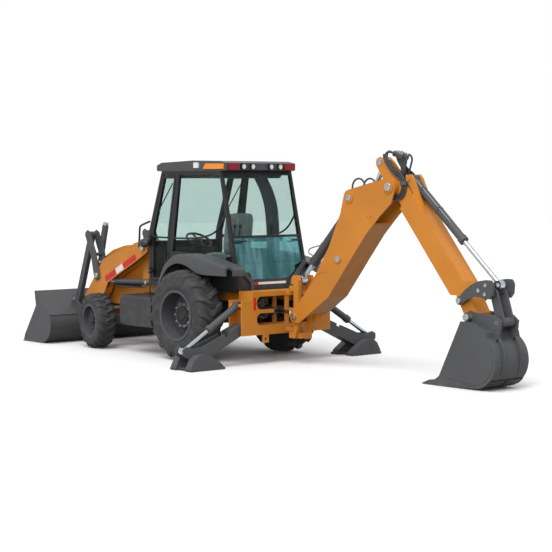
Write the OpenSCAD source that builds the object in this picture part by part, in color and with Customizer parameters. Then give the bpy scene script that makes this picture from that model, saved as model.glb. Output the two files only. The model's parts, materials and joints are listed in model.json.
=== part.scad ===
// Backhoe loader: bucket loader in front, cab amidships, swinging hoe at the rear.
// Millimetres. X forward, Y to the left, Z up. Points named p_ are [x, z] pairs measured
// from the ground under the rear axle; at_origin() moves the machine so that the origin
// lies on the ground under the middle of its footprint.

/* [Wheels and axles] */
// distance between the axles
wheelbase = 2150; // [1900:5:2400]
// rear tyre outside diameter, over the lugs
rear_tyre_d = 1248; // [1100:2:1500]
// rear tyre width
rear_tyre_w = 450; // [350:5:560]
// distance between rear wheel centres
rear_track = 1780; // [1600:5:2000]
// rear rim outside diameter
rear_rim_d = 660; // [560:2:760]
// front tyre outside diameter, over the lugs
front_tyre_d = 812; // [700:2:1000]
// front tyre width
front_tyre_w = 310; // [240:5:380]
// distance between front wheel centres
front_track = 1726; // [1600:2:1900]
// how far the disc of a rear rim stands outside the wheel centre
rear_dish = -60; // [-100:5:60]
// how far the disc of a front rim stands outside the wheel centre
front_dish = 40; // [0:5:80]
// front rim outside diameter
front_rim_d = 462; // [400:2:540]
// distance from a front wheel's middle plane to its kingpin
king_offset = 163; // [158:1:195]
// how far the front wheels stand turned to the right
steer_rest = 10; // [0:1:20]

/* [Frame] */
// half the distance between the outsides of the frame rails
rail_y = 370; // [300:5:420]
// height of the top of the rails under the cab
rail_top = 970; // [900:5:1050]
// x of the rear face of the stabilizer frame
frame_rear = -1080; // [-1200:5:-1000]
// x of the front face of the bumper
bumper_x = 2780; // [2760:1:2785]
// radius of the tow and tie-down holes
tow_r = 22; // [12:0.5:26]
// distance of the rear tie-down tabs from the middle
tie_y = 380; // [350:5:500]
// half width of the stabilizer frame
stab_frame_y = 800; // [700:10:900]

/* [Cab] */
// gap between the side of the cab and a rear tyre
tyre_gap = 25; // [15:1:60]
// thickness of the cab walls and doors
wall = 45; // [30:1:60]
// thickness of the roof
roof_thick = 145; // [110:5:180]
// height of the bar between the two rear panes
sash = 1690; // [1600:5:1760]
// height of the bottom edge of the lower rear pane
sill = 1125; // [1080:5:1180]
// how far the edge of the roof stands inside the side of the cab
roof_inset = 10; // [0:1:30]
// height of the top of the roof
roof_top = 2745; // [2650:5:2850]
// x of the door hinge pins
hinge_x = 1141; // [1130:1:1142]
// distance of the door hinge pins from the cab side
hinge_out = 25; // [20:1:40]
// height of the front bottom corner of the side windows
belt = 1470; // [1440:5:1560]

/* [Loader] */
// pivot of the loader arms on the towers
p_arm = [1380, 1500]; // [1000:1:1800]
// pin between arms and loader bucket
p_hinge = [2950, 370]; // [200:1:3200]
// pivot of the tilt levers on the arms
p_lever = [2541, 1048]; // [800:1:2800]
// top pin of the tilt levers
p_top = [2777, 1657]; // [1200:1:3000]
// link pin on the back of the bucket
p_ear = [3142, 659]; // [400:1:3400]
// rod pin of the tilt cylinders on the levers
p_tilt = [2590, 1230]; // [1000:1:2800]
// base pin of the tilt cylinders inside the arms
p_tilt_base = [1700, 1370]; // [1200:1:2000]
// rod pin of the lift cylinders on the arms
p_lift = [2304, 971]; // [800:1:2500]
// base pin of the lift cylinders on the towers
p_lift_base = [1306, 997]; // [800:1:1500]
// how far the loader arms lift
lift_up = 95; // [70:1:100]
// inner face of a loader arm
arm_in = 470; // [440:1:520]
// outer face of a loader arm
arm_out = 600; // [560:1:660]
// half width of the loader bucket
bucket_y = 1128; // [900:2:1250]
// depth of the loader bucket from its hinge pins to the cutting edge
bucket_depth = 862; // [700:2:1050]
// radius of the curved heel of the loader bucket
heel_r = 285; // [200:5:400]

/* [Hoe] */
// x of the kingpin about which the hoe swings
king_x = -1285; // [-1400:1:-1200]
// x of the closed end of the swing cylinders
swing_x = -290; // [-320:1:-250]
// distance of the swing cylinders from the middle
swing_y = 120; // [110:1:130]
// height of the swing cylinders
swing_z = 700; // [690:1:710]
// boom foot pin
p_foot = [-1415, 655]; // [-1600:1:800]
// rod pin of the boom cylinder on the swing post
p_post = [-1385, 1136]; // [-1600:1:1300]
// base pin of the boom cylinder in the boom
p_boom_cyl = [-2469, 2243]; // [-2700:1:2400]
// boom tip pin, about which the dipper turns
p_tip = [-3174, 2384]; // [-3500:1:2600]
// base pin of the crowd cylinder in the boom
p_crowd_base = [-2258, 1451]; // [-2500:1:1700]
// rod pin of the crowd cylinder on the dipper
p_crowd = [-2942, 2696]; // [-3200:1:2900]
// direction of the dipper beam, degrees from +X
dip_a = 230.45; // [200:0.05:260]
// half width of the boom outside
boom_y = 172; // [140:1:220]
// half width of the sliding sleeve of the dipper
sleeve_y = 125; // [100:1:145]
// base pin of the bucket cylinder on the sleeve
p_bcyl = [-3440, 2480]; // [-3700:1:2700]
// pivot of the guide links on the sleeve
p_guide = [-4389, 1034]; // [-4600:1:1200]
// rod pin of the bucket cylinder on the guide links
p_rod = [-4848, 1238]; // [-5000:1:1400]
// pin between guide links and bucket link
p_mid = [-4836, 1133]; // [-5000:1:1300]
// hoe bucket pin
p_dig = [-4522, 844]; // [-4700:1:1000]
// link pin on the hoe bucket
p_curl = [-4941, 802]; // [-5100:1:1000]
// half width of the hoe bucket
dig_y = 300; // [150:2:460]
// rearmost point of the hoe bucket back
dig_rear = -5048; // [-5300:1:-4700]

/* [Stabilizers] */
// pivot of a stabilizer leg, as [y, z]
q_leg = [690, 485]; // [300:1:900]
// base pin of a stabilizer cylinder, as [y, z]
q_stab = [770, 800]; // [500:1:1000]
// rod pin of a stabilizer cylinder on the leg, as [y, z]
q_eye = [1680, 250]; // [200:1:1900]
// pad pin at the end of the leg, as [y, z]
q_pad = [1530, 118]; // [80:1:1800]

// how far a stabilizer leg folds up from where it stands
stab_up = 85; // [60:1:90]

/* [Hidden] */
$fn = 64;
fit = 0.05;
slip = 0.4;
seat_gap = 0.3;
rear_r = rear_tyre_d / 2;
front_r = front_tyre_d / 2;
hinge_z = [1180, 1640];
eaves = roof_top - roof_thick;
cab_y = rear_track / 2 - rear_tyre_w / 2 - tyre_gap;
roof_y = cab_y - roof_inset;
fender_y = rear_track / 2 + 40;
hood_x = 2698;
bucket_tip = p_hinge[0] + bucket_depth;
mid_x = (bucket_tip + dig_rear) / 2;
king_y = front_track / 2 - king_offset;
leg_x0 = frame_rear + 40;
leg_x1 = -840;
leg_xm = (leg_x0 + leg_x1) / 2;

function folded(q) = polar(q_leg, norm(q - q_leg), atan2(q[1] - q_leg[1], q[0] - q_leg[0]) - stab_up);
function turn(p, q) = atan2(q[1] - p[1], q[0] - p[0]);
function polar(p, r, a) = [p[0] + r * cos(a), p[1] + r * sin(a)];
function du(u, n) = [p_tip[0] + u * cos(dip_a) + n * sin(dip_a), p_tip[1] + u * sin(dip_a) - n * cos(dip_a)];
function arc(c, r, a0, a1, n) = [for (i = [0 : n]) polar(c, r, a0 + (a1 - a0) * i / n)];
function in_depth(k) = p_hinge[0] + k * bucket_depth / 862;
function rear_x(z) = -751 + (z - 1330) * 308 / 1270;
function front_x(z) = z < 1756 ? 1199 - (z - 1604) * 12 / 152 : 1187 - (z - 1756) * 303 / 844;

module at_origin() { translate([-mid_x, 0, 0]) children(); }
module both() { children(); mirror([0, 1, 0]) children(); }
module slab(y0, y1) { translate([0, y1, 0]) rotate([90, 0, 0]) linear_extrude(y1 - y0) children(); }
module wall_x(x0, x1) { translate([x0, 0, 0]) rotate([90, 0, 90]) linear_extrude(x1 - x0) children(); }
module box(x0, x1, y0, y1, z0, z1) { translate([x0, y0, z0]) cube([x1 - x0, y1 - y0, z1 - z0]); }
module pin(p, r, y0, y1) { translate([p[0], y0, p[1]]) rotate([-90, 0, 0]) cylinder(r = r, h = y1 - y0); }
module pin_x(q, r, x0, x1) { translate([x0, q[0], q[1]]) rotate([0, 90, 0]) cylinder(r = r, h = x1 - x0); }
module disc(p, r) { translate(p) circle(r); }
module along(p, q, y) { translate([p[0], y, p[1]]) rotate([0, 90 - turn(p, q), 0]) children(); }
module bar2(p, q, rp, rq) {
    a = turn(p, q);
    b = acos((rp - rq) / norm(q - p));
    disc(p, rp);
    disc(q, rq);
    polygon([polar(p, rp, a - b), polar(q, rq, a - b), polar(q, rq, a + b), polar(p, rp, a + b)]);
}

// hydraulic cylinder lying in an x-z plane: barrel from p toward q, rod with its eye at q
module barrel(p, q, y, r, len, rod_r, eye_r, eye_w, bore) {
    difference() {
        union() {
            along(p, q, y) translate([0, 0, eye_r * 0.6]) cylinder(r = r, h = len - eye_r * 0.6);
            along(p, q, y) translate([0, 0, len - 60]) cylinder(r = r + 8, h = 60);
            pin(p, eye_r, y - eye_w / 2, y + eye_w / 2);
        }
        pin(p, bore + fit, y - eye_w, y + eye_w);
        along(p, q, y) translate([0, 0, eye_r + 15]) cylinder(r = rod_r + fit, h = len);
    }
}
module rod(p, q, y, r, start, eye_r, eye_w, bore) {
    difference() {
        union() {
            along(p, q, y) translate([0, 0, start]) cylinder(r = r, h = norm(q - p) - start);
            pin(q, eye_r, y - eye_w / 2, y + eye_w / 2);
        }
        pin(q, bore, y - eye_w, y + eye_w);
    }
}

module main_frame() {
    color("DarkOrange") difference() {
        union() {
            both() slab(rail_y - 40, rail_y) polygon([[-825, 810], [-825, rail_top], [1000, rail_top], [1150, 900],
                [2700, 900], [2700, 620], [1250, 620], [900, 810]]);
            box(600, 680, -335, 335, 830, 950);
            box(1640, 1760, -335, 335, 630, 720);
            box(2050, 2250, -335, 335, 620, 720);
            box(2060, 2240, -110, 110, 480, 625);
            box(2560, 2700, -335, 335, 620, 900);
            box(2695, bumper_x, -360, 360, 560, 900);
            box(swing_x, swing_x + 50, -335, 335, 620, 950);
            both() slab(rail_y - 5, 440) polygon([[1230, 840], [1230, 1560], [1290, 1610], [1460, 1610],
                [1570, 1440], [1640, 900], [1640, 840]]);
            both() pin(p_arm, 45, 400, arm_out + 28);
            both() pin(p_lift_base, 30, 400, arm_out + 20);
            box(1440, 1480, -rail_y, rail_y, 880, 1440);
            both() slab(286, 306) polygon([[1470, 1400], [1440, 1400], [1440, 1440], [1482, 1502], [1500, 1502],
                [1500, 1478], [1480, 1440]]);
            pin([1490, 1490], 10, -300, 300);
            stabilizer_frame();
        }
        translate([king_x, 0, 400]) cylinder(r = 40 + fit, h = 700);
    }
    color("DarkOrange") difference() {
        box(bumper_x + seat_gap, bumper_x + 80, -60, 60, 760, 800);
        translate([bumper_x + 45, 0, 700]) cylinder(r = tow_r, h = 200);
    }
    color("DarkOrange") both() difference() {
        box(frame_rear, frame_rear + 25, tie_y - 50, tie_y + 50, 290, 400 - seat_gap);
        pin_x([tie_y, 340], tow_r, frame_rear - 10, -700);
    }
}
module stabilizer_frame() {
    difference() {
        union() {
            box(-825, -800, -stab_frame_y, stab_frame_y, 400, 980);
            box(frame_rear, frame_rear + 25, -stab_frame_y, stab_frame_y, 400, 980);
        }
        both() box(frame_rear - 10, -790, 30, 540, 530, 915);
        both() box(frame_rear - 10, -790, 620, 900, 870, 990);
    }
    box(frame_rear, -800, -600, 600, 930, 980);
    box(frame_rear, -800, -600, 600, 440, 490);
    both() box(frame_rear, frame_rear + 25, 240, 545, 690, 740);
    both() box(frame_rear, -800, 560, 600, 440, 980);
    for (z = [440, 930]) {
        box(king_x, frame_rear + 5, -28, 28, z, z + 50);
        box(king_x, king_x + 140, -75, 75, z, z + 50);
    }
    translate([king_x, 0, 930]) cylinder(r = 75, h = 50);
    translate([king_x, 0, 440]) cylinder(r = 75, h = 50);
    both() pin_x(q_leg, 30, frame_rear, -800);
    both() pin_x(q_stab, 26, frame_rear, -800);
}
module engine() {
    color("DimGray") union() {
        box(1660, 2550, -250, 250, 720, 1220);
        pin([2480, 950], 40, 240, 395);
        translate([2480, 395, 950]) sphere(r = 40);
        along([2480, 950], [2846, 950], 395) cylinder(r = 40, h = 366);
        translate([2846, 395, 950]) sphere(r = 40);
        along([2846, 950], [2617, 1826], 395) cylinder(r = 38, h = 905);
    }
}
module hood() {
    color("DarkOrange") difference() {
        union() {
            slab(-345, 345) polygon([[1510, 1000], [1510, 1530], [1560, 1552], [2200, 1500], [2500, 1425], [2690, 1330],
                [hood_x, 1000]]);
            both() pin([1490, 1490], 24, 240, 280);
            both() box(1490, 1520, 240, 280, 1466, 1514);
        }
        slab(-331, 331) polygon([[1400, 900], [1400, 1460], [1524, 1460], [1524, 1517], [1560, 1537], [2198, 1486], [2494, 1412], [2676, 1320],
            [hood_x - 14, 900]]);
        both() pin([1490, 1490], 10 + fit, 200, 330);
    }
}
module grille() {
    color("DimGray") difference() {
        box(hood_x + seat_gap, hood_x + 40, -330, 330, 906, 1315);
        for (i = [-5 : 5]) box(hood_x - 5, hood_x + 50, i * 54 - 19, i * 54 + 19, 940, 1275);
    }
    color("DimGray") box(hood_x + seat_gap, hood_x + 10, -328, 328, 908, 1312);
}
module side_tanks() {
    color("DimGray") both() wall_x(740, 1486) polygon([[rail_y, 390], [890, 390], [935, 420], [950, 480], [950, 790],
        [935, 820], [905, 830], [rail_y, 830]]);
}
module cab_floor() {
    color("DimGray") union() {
        box(-755, 1190, -cab_y + wall, cab_y - wall, rail_top, rail_top + 40);
        difference() {
            slab(-cab_y + wall, cab_y - wall) polygon([[-758, rail_top], [-751, 1330], [-716, 1330], [-723, rail_top]]);
            wall_x(-1000, 0) polygon(rear_pane());
        }
        box(1150, 1190, -cab_y + wall, cab_y - wall, rail_top, 1500);
    }
}
module cab_frame() {
    color("DarkSlateGray") union() {
        both() difference() {
            slab(cab_y - wall, cab_y) polygon([[-758, rail_top], [-751, 1330], [rear_x(eaves), eaves], [front_x(eaves), eaves],
                [front_x(1756), 1756], [1199, 1604], [1190, rail_top]]);
            slab(cab_y - wall - 5, cab_y + 5) polygon(door_hole());
            slab(cab_y - wall - 5, cab_y + 5) polygon(side_hole());
        }
        rear_bar(sash, sash + 28);
        rear_bar(eaves - 60, eaves);
        front_bar(1500, 1604);
        front_bar(eaves - 60, eaves);
        both() for (z = hinge_z) {
            translate([hinge_x, cab_y + hinge_out, z - 40]) cylinder(r = 8, h = 80);
            for (k = [z - 40, z + 18]) {
                translate([hinge_x, cab_y + hinge_out, k]) cylinder(r = 14, h = 22);
                box(hinge_x, hinge_x + 34, cab_y + hinge_out - 13, cab_y + hinge_out + 14, k, k + 22);
                box(hinge_x + 8, hinge_x + 34, cab_y - 2, cab_y + hinge_out, k, k + 22);
            }
        }
    }
}
function rear_pane() = let (w = cab_y - wall) [[-345, sill], [345, sill], [w, 1330], [w, sash], [-w, sash], [-w, 1330]];
function jamb_rear(z) = 700 - (z - 1740) * 155 / 805;
function jamb_front(z) = 1130 - (z - 1745) * 272 / 800;
function door_hole() = [[745, 1040], [700, 1740], [jamb_rear(eaves - 55), eaves - 55], [jamb_front(eaves - 55), eaves - 55],
    [1130, 1745], [1145, 1040]];
function side_hole() = [[rear_x(belt - 125) + 64, belt - 125], [rear_x(eaves - 55) + 41, eaves - 55],
    [jamb_rear(eaves - 55) - 70, eaves - 55], [630, belt + 60], [640, belt], [502, belt - 8], [-60, belt - 30], [-400, belt - 78]];
module rear_bar(z0, z1) {
    slab(-cab_y + wall - 1, cab_y - wall + 1) polygon([[rear_x(z0), z0], [rear_x(z1), z1], [rear_x(z1) + 45, z1],
        [rear_x(z0) + 45, z0]]);
}
module front_bar(z0, z1) {
    slab(-cab_y + wall - 1, cab_y - wall + 1) polygon([[front_x(z0) - 45, z0], [front_x(z1) - 45, z1], [front_x(z1), z1],
        [front_x(z0), z0]]);
}
module cab_glass() {
    w = cab_y - wall;
    color("LightBlue") both() slab(cab_y - 26, cab_y - 18) polygon(side_hole());
    color("LightBlue") intersection() {
        slab(-w, w) polygon([[-741, sill], [-737, 1330], [rear_x(sash) + 14, sash], [rear_x(sash) + 22, sash], [-729, 1330],
            [-733, sill]]);
        wall_x(-1000, 0) polygon(rear_pane());
    }
    color("LightBlue") slab(-w, w) polygon([[rear_x(sash + 28) + 14, sash + 28], [rear_x(eaves - 60) + 14, eaves - 60], [rear_x(eaves - 60) + 22, eaves - 60],
        [rear_x(sash + 28) + 22, sash + 28]]);
    color("LightBlue") slab(-w, w) polygon([[front_x(1604) - 22, 1604], [front_x(1756) - 22, 1756],
        [front_x(eaves - 60) - 22, eaves - 60], [front_x(eaves - 60) - 14, eaves - 60], [front_x(1756) - 14, 1756], [front_x(1604) - 14, 1604]]);
}
module roof() {
    color("DimGray") difference() {
        slab(-roof_y, roof_y) polygon([[-505, eaves], [-537, eaves + 12], [-537, roof_top - 40], [-400, roof_top - 12],
            [186, roof_top], [900, roof_top - 25], [1012, roof_top - 62], [1012, eaves + 12], [990, eaves]]);
        slab(-roof_y + 70, roof_y - 70) polygon([[-380, eaves - 10], [-380, roof_top - 60], [820, roof_top - 60], [820, eaves - 10]]);
    }
}
module fenders() {
    color("DimGray") both() difference() {
        union() {
            slab(cab_y, fender_y) polygon([[620, 1030], [470, 1290], [300, 1420], [120, 1460], [-100, 1455], [-500, 1400], [-900, 1310],
                [-960, 1292], [-960, 1195], [-925, 1195], [-915, 1262], [-500, 1370], [-100, 1425], [120, 1430], [285, 1395],
                [445, 1270], [595, 1025]]);
            slab(fender_y - 35, fender_y) polygon([[620, 1030], [470, 1290], [300, 1420], [120, 1460], [-100, 1455], [-500, 1400], [-884, 1313],
                [-884, 1192], [-737, 1192], [-359, 1198], [-210, 1232], [-60, 1296], [100, 1325], [226, 1318], [400, 1240],
                [560, 1040], [595, 1020]]);
        }
        box(-1000, leg_xm + 56, 840, fender_y + 30, 1100, 1400);
    }
}
module seat() {
    color("Black") union() {
        box(0, 420, -200, 200, rail_top + 40, 1330);
        box(-60, 460, -240, 240, 1330, 1450);
        slab(-230, 230) polygon([[-60, 1400], [70, 1400], [-30, 2020], [-130, 2000]]);
    }
}
module controls() {
    color("Black") union() {
        slab(-60, 60) polygon([[980, rail_top + 40], [1100, rail_top + 40], [880, 1612], [820, 1592]]);
        translate([845, 0, 1610]) rotate([0, -30, 0]) rotate_extrude() translate([185, 0]) circle(16);
        translate([845, 0, 1610]) rotate([0, -30, 0]) translate([0, 0, -12]) cylinder(r = 45, h = 24);
        translate([845, 0, 1610]) rotate([0, -30, 0]) translate([-185, -15, -8]) cube([370, 30, 16]);
    }
    color("Black") both() box(-420, -280, 250, 420, rail_top + 40, 1420);
    color("Black") box(0, 560, -cab_y + wall + 35, -cab_y + wall + 155, rail_top + 40, 1500);
}
module lamps() {
    color("White") both() for (y = [510, 345]) box(-568, -537, roof_y - y, roof_y - y + 92, eaves + 15, roof_top - 45);
    color("White") both() box(1012, 1045, 350, 460, eaves + 14, roof_top - 64);
    color("White") both() box(44, 140, roof_y, roof_y + 24, eaves + 40, eaves + 115);
    color("Red") both() box(-568, -537, roof_y - 220, roof_y - 40, eaves + 15, roof_top - 45);
    color("Orange") both() slab(roof_y, roof_y + 16) polygon([[-500, eaves + 25], [-60, eaves + 25], [-110, eaves + 100], [-500, eaves + 96]]);
}
module axles() {
    color("DimGray") union() {
        pin([0, rear_r], 110, -630, 630);
        translate([0, 0, rear_r]) sphere(r = 200);
        both() box(-110, 110, rail_y - 40, rail_y, rear_r, 810);
        both() pin([0, rear_r], 70, 620, rear_track / 2 + rear_dish - 60);
    }
    color("DimGray") difference() {
        union() {
            box(wheelbase - 80, wheelbase + 80, -110, 110, front_r - 80, 480);
            both() slab(0, king_y - 40) polygon([[wheelbase - 70, front_r - 65], [wheelbase + 70, front_r - 65],
                [wheelbase + 70, front_r + 65], [wheelbase - 70, front_r + 65]]);
            both() translate([wheelbase, king_y, front_r - 65]) cylinder(r = 50, h = 130);
        }
        both() translate([wheelbase, king_y, 0]) cylinder(r = 28 + fit, h = 900);
    }
}
module steered(s) {
    translate([wheelbase, s * king_y, 0]) rotate([0, 0, -steer_rest]) translate([-wheelbase, -s * king_y, 0]) children();
}
module knuckle(s) {
    mirror([0, s > 0 ? 0 : 1, 0]) color("DimGray") union() {
        translate([wheelbase, king_y, front_r - 104]) cylinder(r = 28, h = 208);
        translate([wheelbase, king_y, front_r + 71]) cylinder(r = 52, h = 33);
        translate([wheelbase, king_y, front_r - 104]) cylinder(r = 52, h = 33);
        box(wheelbase - 50, wheelbase + 50, king_y, king_y + 80, front_r + 71, front_r + 104);
        box(wheelbase - 50, wheelbase + 50, king_y, king_y + 80, front_r - 104, front_r - 71);
        box(wheelbase - 55, wheelbase + 55, king_y + 57, king_y + 85, front_r - 104, front_r + 104);
        pin([wheelbase, front_r], 45, king_y + 60, front_track / 2 + front_dish - 15);
    }
}
module knuckle_left() { steered(1) knuckle(1); }
module knuckle_right() { steered(-1) knuckle(-1); }

// flat-sided ring: a section of [radius, offset] points stood around the axis n times
module ring(section, n) {
    m = len(section);
    polyhedron([for (i = [0 : n - 1], q = section) [q[0] * cos(360 * i / n), q[0] * sin(360 * i / n), q[1]]],
        [for (i = [0 : n - 1], j = [0 : m - 1]) [i * m + j, i * m + (j + 1) % m, (i + 1) % n * m + (j + 1) % m, (i + 1) % n * m + j]]);
}
// tyre on the wheel's own axle, with two rows of slanted lugs
module tyre(d, w, rim, lug_h, lug_w, count) {
    r = d / 2 - lug_h;
    b = (rim / 2 + fit) / cos(5.7);
    reach = w * 0.27;
    len = 2 * (reach - lug_w / 2 * sin(32)) / cos(32);
    side = (len * sin(32) + lug_w * cos(32)) / 2;
    top = sqrt(d * d / 4 - side * side);
    color("Black") union() {
        rotate([90, 0, 0]) ring([[b, -w * 0.40 + 0.3], [b + 24, -w * 0.40 + 0.3], [b + (r - b) * 0.55, -w * 0.5],
            [r, -w * 0.40], [r, w * 0.40], [b + (r - b) * 0.55, w * 0.5], [b + 24, w * 0.40 - 0.3],
            [b, w * 0.40 - 0.3]], 32);
        for (i = [0 : count - 1], k = [-1, 1]) rotate([0, (i + k / 4) * 360 / count, 0])
            translate([0, k * w * 0.225, top - lug_h - 15]) rotate([0, 0, -k * 32]) translate([-lug_w / 2, -len / 2, -15])
                cube([lug_w, len, lug_h + 30]);
    }
}
// rim: bead seat with flanges, dished disc and hub; the disc stands toward +Y
module rim(d, w, dish, hub, bore, hub_in) {
    b = d / 2;
    color("DimGray") rotate([-90, 0, 0]) difference() {
        rotate_extrude() polygon([[b, -w * 0.40], [b + 22, -w * 0.40], [b + 22, -w * 0.44], [b - 14, -w * 0.44],
            [b - 14, dish - 8], [hub, dish - 40], [hub, hub_in], [0, hub_in], [0, dish + 20], [hub, dish + 20],
            [hub, dish - 22], [b - 14, dish + 12], [b - 14, w * 0.44], [b + 22, w * 0.44], [b + 22, w * 0.40],
            [b, w * 0.40]]);
        translate([0, 0, dish - 200]) cylinder(r = bore + fit, h = 190);
    }
}
module at_rear(s) { translate([0, s * rear_track / 2, rear_r]) mirror([0, s > 0 ? 0 : 1, 0]) children(); }
module at_front(s) { steered(s) translate([wheelbase, s * front_track / 2, front_r]) mirror([0, s > 0 ? 0 : 1, 0]) children(); }
module tyre_rl() { at_rear(1) tyre(rear_tyre_d, rear_tyre_w, rear_rim_d, 36, 66, 16); }
module tyre_rr() { at_rear(-1) tyre(rear_tyre_d, rear_tyre_w, rear_rim_d, 36, 66, 16); }
module tyre_fl() { at_front(1) tyre(front_tyre_d, front_tyre_w, front_rim_d, 24, 48, 14); }
module tyre_fr() { at_front(-1) tyre(front_tyre_d, front_tyre_w, front_rim_d, 24, 48, 14); }
module rim_rl() { at_rear(1) rim(rear_rim_d, rear_tyre_w, rear_dish, 130, 70, rear_dish - 110); }
module rim_rr() { at_rear(-1) rim(rear_rim_d, rear_tyre_w, rear_dish, 130, 70, rear_dish - 110); }
module rim_fl() { at_front(1) rim(front_rim_d, front_tyre_w, front_dish, 80, 45, 93 - king_offset); }
module rim_fr() { at_front(-1) rim(front_rim_d, front_tyre_w, front_dish, 80, 45, 93 - king_offset); }

// cab doors hang on the front pillars
module door(s) {
    mirror([0, s > 0 ? 0 : 1, 0]) color("DarkSlateGray") for (z = hinge_z) difference() {
        union() {
            translate([hinge_x, cab_y + hinge_out, z - 15]) cylinder(r = 14, h = 30);
            box(hinge_x - 45, hinge_x - 16, cab_y - 2, cab_y + hinge_out + 6, z - 15, z + 15);
            box(hinge_x - 20, hinge_x, cab_y + hinge_out - 10, cab_y + hinge_out + 10, z - 15, z + 15);
        }
        translate([hinge_x, cab_y + hinge_out, z - 60]) cylinder(r = 8 + fit, h = 120);
    }
    mirror([0, s > 0 ? 0 : 1, 0]) color("DarkSlateGray") difference() {
        slab(cab_y - wall, cab_y) polygon([[755, 1047], [710, 1740], [jamb_rear(eaves - 62) + 9, eaves - 62],
            [jamb_front(eaves - 62) - 8, eaves - 62], [1123, 1744], [1137, 1047]]);
        slab(cab_y - wall - 5, cab_y + 5) polygon(pane());
    }
}
function pane() = [[787, 1090], [747, 1745], [jamb_rear(eaves - 105) + 45, eaves - 105], [jamb_front(eaves - 105) - 50, eaves - 105],
    [1081, 1735], [1094, 1090]];
module door_left() { door(1); }
module door_right() { door(-1); }
module door_glass_left() { color("LightBlue") slab(cab_y - 26, cab_y - 18) polygon(pane()); }
module door_glass_right() { color("LightBlue") slab(-cab_y + 18, -cab_y + 26) polygon(pane()); }

module loader_arms() {
    b = polar(p_arm, norm(p_lift_base - p_arm), turn(p_arm, p_lift_base) - lift_up);
    a = turn(b, p_lift);
    color("DarkOrange") difference() {
        union() {
            both() slab(arm_in, arm_out) arm_side();
            pin([2800, 465], 55, -arm_out + 10, arm_out - 10);
        }
        both() slab(arm_in + 11, arm_out - 11) polygon([[1600, 1100], [1600, 1480], [1660, 1495], [2030, 1390],
            [2080, 1600], [3100, 1600], [3100, 690], [2985, 635], [2830, 640], [2700, 800], [2480, 900], [2240, 800]]);
        both() slab(arm_in + 11, arm_out - 11) polygon([polar(polar(b, 330, a), 58, a + 90),
            polar(polar(b, 1400, a), 58, a + 90), polar(polar(b, 1400, a), -300, a + 90),
            polar(polar(b, 330, a), -300, a + 90)]);
        both() pin(p_arm, 45 + fit, 300, 700);
        both() pin(p_hinge, 40 + fit, 300, 700);
    }
    color("DarkOrange") both() pin(p_tilt_base, 22, arm_in + 5, arm_out - 5);
    color("DarkOrange") both() pin(p_lever, 40, arm_in - 30, arm_out + 30);
}
module arm_side() {
    polygon([[1290, 1440], [1546, 1305], [2282, 957], [2372, 803], [2835, 330], [2940, 290], [3010, 330], [3020, 395],
        [2975, 460], [2930, 520], [2870, 744], [2444, 1252], [2391, 1301], [2174, 1382], [2062, 1412], [1664, 1532], [1590, 1563], [1400, 1598],
        [1320, 1580], [1285, 1520]]);
}
module loader_bucket() {
    c = [in_depth(366), heel_r];
    inside = concat([[bucket_tip + 50, 12], [bucket_tip, 12], [in_depth(650), 26], [in_depth(366), 20]], arc(c, heel_r - 18, 270, 149, 14),
        [[in_depth(504), 776], [in_depth(550), 900]]);
    color("DimGray") difference() {
        union() {
            both() slab(arm_in - 24, arm_in - 6) bucket_ear();
            both() slab(arm_out + 6, arm_out + 24) bucket_ear();
        }
        slab(-bucket_y + 18, bucket_y - 18) polygon(inside);
    }
    color("DimGray") difference() {
        union() {
            slab(-bucket_y, bucket_y) polygon(concat([[bucket_tip, 0], [bucket_tip, 12], [in_depth(650), 26], [in_depth(366), 20]],
                arc(c, heel_r - 18, 270, 149, 14), [[in_depth(504), 776], [in_depth(490), 794], [in_depth(110), 436]],
                arc(c, heel_r, 149, 270, 14)));
            both() slab(bucket_y - 18, bucket_y) polygon(concat([[bucket_tip - 20, 2], [in_depth(808), 105], [in_depth(490), 565],
                [in_depth(527), 786], [in_depth(490), 794], [in_depth(110), 436]], arc(c, heel_r, 149, 270, 14)));
            both() pin(p_hinge, 40, arm_in - 30, arm_out + 30);
            both() pin(p_ear, 32, arm_in - 30, arm_out + 30);
        }
        for (i = [-5 : 2 : 5]) translate([bucket_tip - 90, i * 200, -5]) cylinder(r = 11, h = 60);
    }
}
module bucket_ear() {
    polygon([[2880, 330], [2930, 290], [3010, 290], [3110, 200], [3200, 560], [3220, 620], [3190, 700], [3130, 715],
        [3080, 680], [2900, 430]]);
}
module lift_barrels() { color("DimGray") both() barrel(p_lift_base, p_lift, 535, 40, 850, 30, 48, 90, 30); }
module lift_rods() { color("Silver") both() rod(p_lift_base, p_lift, 535, 30, 110, 48, 80, 28); }
module tilt_levers() {
    color("DimGray") both() difference() {
        union() {
            slab(arm_in - 22, arm_in - 6) lever_side();
            slab(arm_out + 6, arm_out + 22) lever_side();
            pin([2640, 1360], 26, arm_in - 22, arm_out + 22);
        }
        pin(p_lever, 40 + fit, 300, 700);
    }
}
module lever_side() {
    polygon([[2470, 1010], [2541, 970], [2610, 1010], [2690, 1330], [2840, 1640], [2835, 1690], [2777, 1725], [2710, 1690],
        [2560, 1380], [2480, 1080]]);
}
module tilt_links() {
    color("DimGray") both() difference() {
        slab(arm_in + 30, arm_out - 30) bar2(p_ear, p_top, 50, 45);
        pin(p_ear, 32 + fit, 300, 700);
        pin(p_top, 28, 300, 700);
    }
}
module tilt_barrels() { color("DimGray") both() barrel(p_tilt_base, p_tilt, 535, 40, 600, 24, 40, 78, 22); }
module tilt_rods() { color("Silver") both() rod(p_tilt_base, p_tilt, 535, 24, 215, 42, 70, 24); }

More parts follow.
